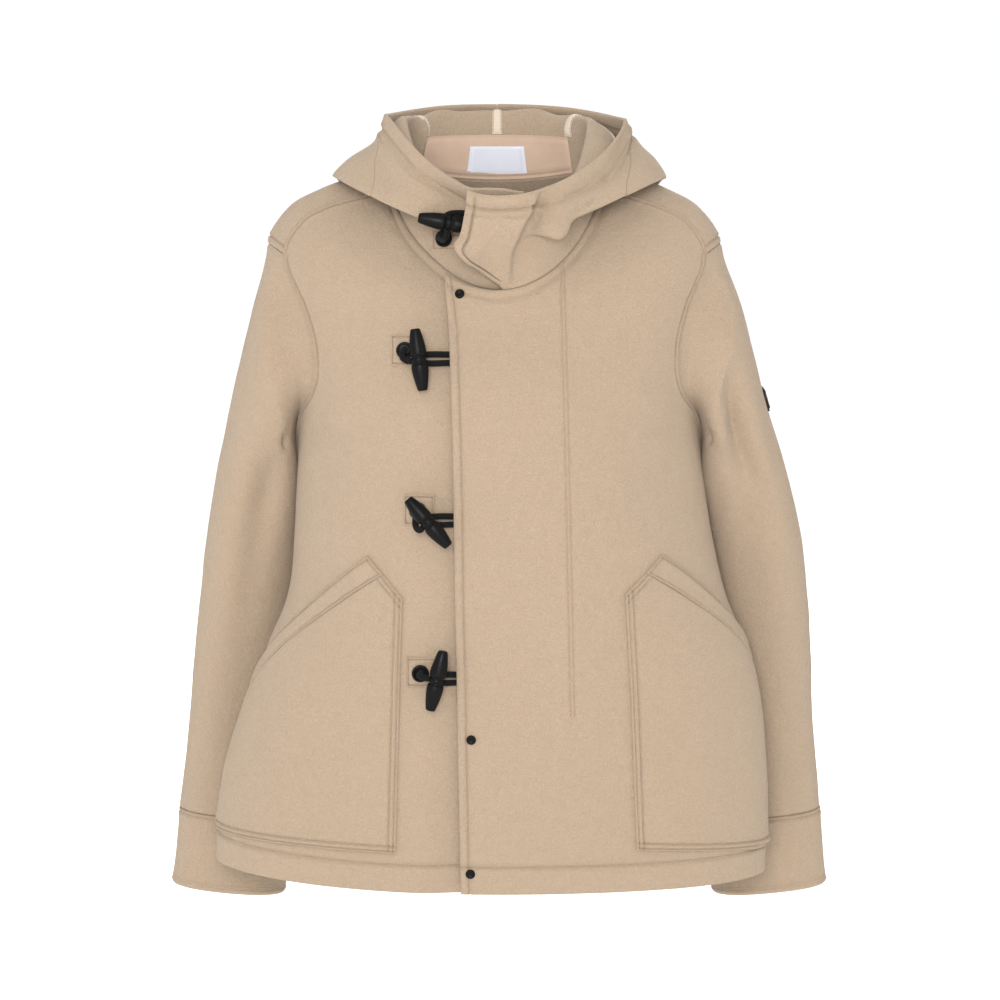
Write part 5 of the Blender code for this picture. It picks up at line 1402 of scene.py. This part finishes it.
def make_toggle(name, x, z, tuck, loop_up, cloth):
    """The button, the toggle and both cords, on the patch that the jacket's right side carries."""
    surface = cloth.surface
    tree = BVHTree.FromPolygons(cloth.outer.reshape(-1, 3).tolist(), cloth.cells.tolist())

    def place(x, z, height):
        u, v = surface.find_front(x, z, 0.0, surface.end)
        point, level = Vector(surface.point(u, v)), Vector(outward(u))
        hit = tree.ray_cast(point + level * RAY_START, -level)[0]
        return np.array((hit or point) + level * height)

    seat, up = seat_of(f"button_{name}")
    turned(f"button_{name}", BUTTON_PROFILE, BLACK, seat, up)

    middle, along, _ = axis_of(f"toggle_{name}", True)
    whole = [(radius, -height) for radius, height in reversed(TOGGLE_HALF)] + list(TOGGLE_HALF[1:])
    turned(f"toggle_{name}", whole, BLACK, middle, along)

    u, v = surface.find_front(x, z, 0.0, surface.end)
    aside = unit(np.cross(along, outward(u)))
    aside = aside if aside[0] < 0.0 else -aside
    top = seat + up * TIE_FOOT
    waist = middle + aside * (TOGGLE_WAIST_RADIUS + SEAM_GAP)
    bend = lerp(top + up * TIE_ARCH, waist + aside * TIE_REACH, TIE_BEND)
    cord(f"tie_{name}", (top, top + up * TIE_RISE, bend, waist + aside * TIE_END, waist))

    edge = float(rows(FLAP_EDGE, v) if surface is hood else placket_x(v))
    low = TOUCH + CORD_RADIUS + LOOP_CLEARANCE
    over = low if surface is hood else low + PATCH_CLOTH + TOUCH
    places = (edge + tuck, low), (edge - LOOP_EDGE, low), (x + LOOP_BEND, over), (x - LOOP_CLOSE, over)
    strand = [(px, share * LOOP_WIDTH / 2.0, height) for (px, height), share in zip(places, LOOP_SHARES)]
    level = z + loop_up
    upper = [place(px, level + half, height) for px, half, height in strand]
    lower = [place(px, level - half, height) for px, half, height in reversed(strand)]
    cord(f"loop_{name}", upper + [place(x - LOOP_TURN, level, over)] + lower)


# ---------------------------------------------------------------- stitches
PITCH = 0.0037
STITCH_LENGTH = 0.0030
STITCH_RADIUS = 0.00036
STITCH_SIDES = 5
STITCH_PROFILE = np.array((  # share of its length, share of its radius, height above the cloth
    (-0.50, 0.30, -0.00030), (-0.36, 0.90, 0.00005), (0.0, 1.0, 0.00028), (0.36, 0.90, 0.00005), (0.50, 0.30, -0.00030),
))


def make_stitches(name, lines):
    """Rows of short threads that dip into the cloth at both ends."""
    centres, headings, normals = [], [], []
    for points, ups in lines:
        run = np.concatenate(((0.0,), np.cumsum(np.linalg.norm(np.diff(points, axis=0), axis=1))))
        count = int(run[-1] / PITCH)
        if count < 1:
            continue
        middles = (np.arange(count) + 0.5) * run[-1] / count

        def at(where, values):
            return np.stack([np.interp(where, run, values[:, k]) for k in range(3)], -1)

        centres.append(at(middles, points))
        headings.append(unit(at(middles + STITCH_LENGTH / 2, points) - at(middles - STITCH_LENGTH / 2, points)))
        normals.append(unit(at(middles, ups)))
    centres, headings, normals = (np.concatenate(values) for values in (centres, headings, normals))
    sides = unit(np.cross(headings, normals))
    share, swell, rise = STITCH_PROFILE.T
    angles = np.linspace(0.0, math.tau, STITCH_SIDES, endpoint=False)
    middle = (centres[:, None] + headings[:, None] * (share * STITCH_LENGTH)[:, None]
              + normals[:, None] * rise[:, None])
    ring = middle[:, :, None] + (STITCH_RADIUS * swell)[:, None, None] * (
        sides[:, None, None] * np.cos(angles)[:, None] + normals[:, None, None] * np.sin(angles)[:, None])
    count, per = len(centres), len(share) * STITCH_SIDES
    cells = grid_cells(len(share), STITCH_SIDES, closed=True)
    cells = (cells[None] + (np.arange(count) * per)[:, None, None]).reshape(-1, 4)
    add_object(name, quad_mesh(name, ring.reshape(-1, 3), cells), THREAD)


# ---------------------------------------------------------------- build
front_right = make_front_right()
front_left = make_front_left()
make_back()
sleeves = {name: make_sleeve(side, name) for side, name in ((-1, "right"), (1, "left"))}
hood_pieces = make_hood()
make_inside_of_neck()
fronts = {"right": (front_right.outer, front_right.cells), "left": (front_left.outer, front_left.cells)}
for side, pocket in POCKETS.items():
    make_pocket(side, pocket, fronts[side])
for name, (low_x, low_z, height, carrier_name) in PATCHES.items():
    cloth = front_right if carrier_name == "front_right" else hood_pieces[carrier_name]
    low, high = (low_x, -1.0, low_z), (low_x + PATCH_WIDTH, 0.0, low_z + height)
    laid_piece(f"patch_{name}", (cloth.outer, cloth.cells), box_planes(low, high), PATCH_CLOTH, WOOL,
               (WELT_STITCHES, WELT_STITCHES, (), (), WELT_STITCHES, WELT_STITCHES), seed=47.0)
    make_toggle(name, *TOGGLES[name], cloth)
laid_piece("sleeve_tab", sleeves["left"], box_planes((0.25, *TAB[0]), (0.40, *TAB[1])), TAB_CLOTH, TAB_FELT,
           ((), (), *(TAB_STITCHES,) * 4), seed=49.0)
for name in ("snap_top", "snap_hip", "snap_hem"):
    turned(name, SNAP_PROFILE, BLACK, *seat_of(name), steps=32)
for part, lines in stitch_rows.items():
    make_stitches(f"stitches_{part}", lines)

# ---------------------------------------------------------------- floor and light
FLOOR_Z, FLOOR_RADIUS = -1.050, 14.0
WHITE = (1.0, 1.0, 1.0, 1.0)
LIGHTS = {  # place, aim, size, power
    "key": ((-0.9, -2.6, 2.6), (0.0, 0.0, -0.25), 2.4, 16.0),
    "front": ((-0.3, -4.6, 0.7), (0.0, 0.0, -0.30), 1.8, 190.0),
    "back": ((0.6, 4.6, 1.4), (0.0, 0.0, -0.30), 1.8, 130.0),
    "fill": ((2.6, -1.6, 0.9), (0.1, 0.0, -0.30), 2.4, 7.0),
    "side": ((-2.8, -1.2, 0.7), (-0.1, 0.0, -0.30), 2.4, 6.0),
}


def make_floor():
    mesh = bpy.data.meshes.new("floor")
    build = bmesh.new()
    bmesh.ops.create_circle(build, cap_ends=True, segments=96, radius=FLOOR_RADIUS)
    build.to_mesh(mesh)
    build.free()
    shade = Shader("floor_pale", Roughness=0.9, Specular_IOR_Level=0.1, Emission_Strength=0.12)
    shade.principled.inputs["Emission Color"].default_value = WHITE
    shade.colour(shade.mix((0.95, 0.95, 0.95, 1.0), (0.97, 0.97, 0.97, 1.0), shade.noise(1.5)))
    mesh.materials.append(shade.material)
    made = link_object("floor", mesh)
    made.location = (0.0, 0.0, FLOOR_Z)


make_floor()
world = bpy.data.worlds.new("studio")
world.use_nodes = True
background = world.node_tree.nodes["Background"]
background.inputs["Color"].default_value = WHITE
background.inputs["Strength"].default_value = 1.02
bpy.context.scene.world = world
bpy.context.scene.view_settings.view_transform = "Standard"
for name, (place, aim, size, power) in LIGHTS.items():
    data = bpy.data.lights.new(name, "AREA")
    data.shape, data.size, data.energy = "DISK", size, power
    light = link_object(name, data)
    light.location = place
    light.rotation_euler = (Vector(aim) - Vector(place)).to_track_quat("-Z", "Y").to_euler()
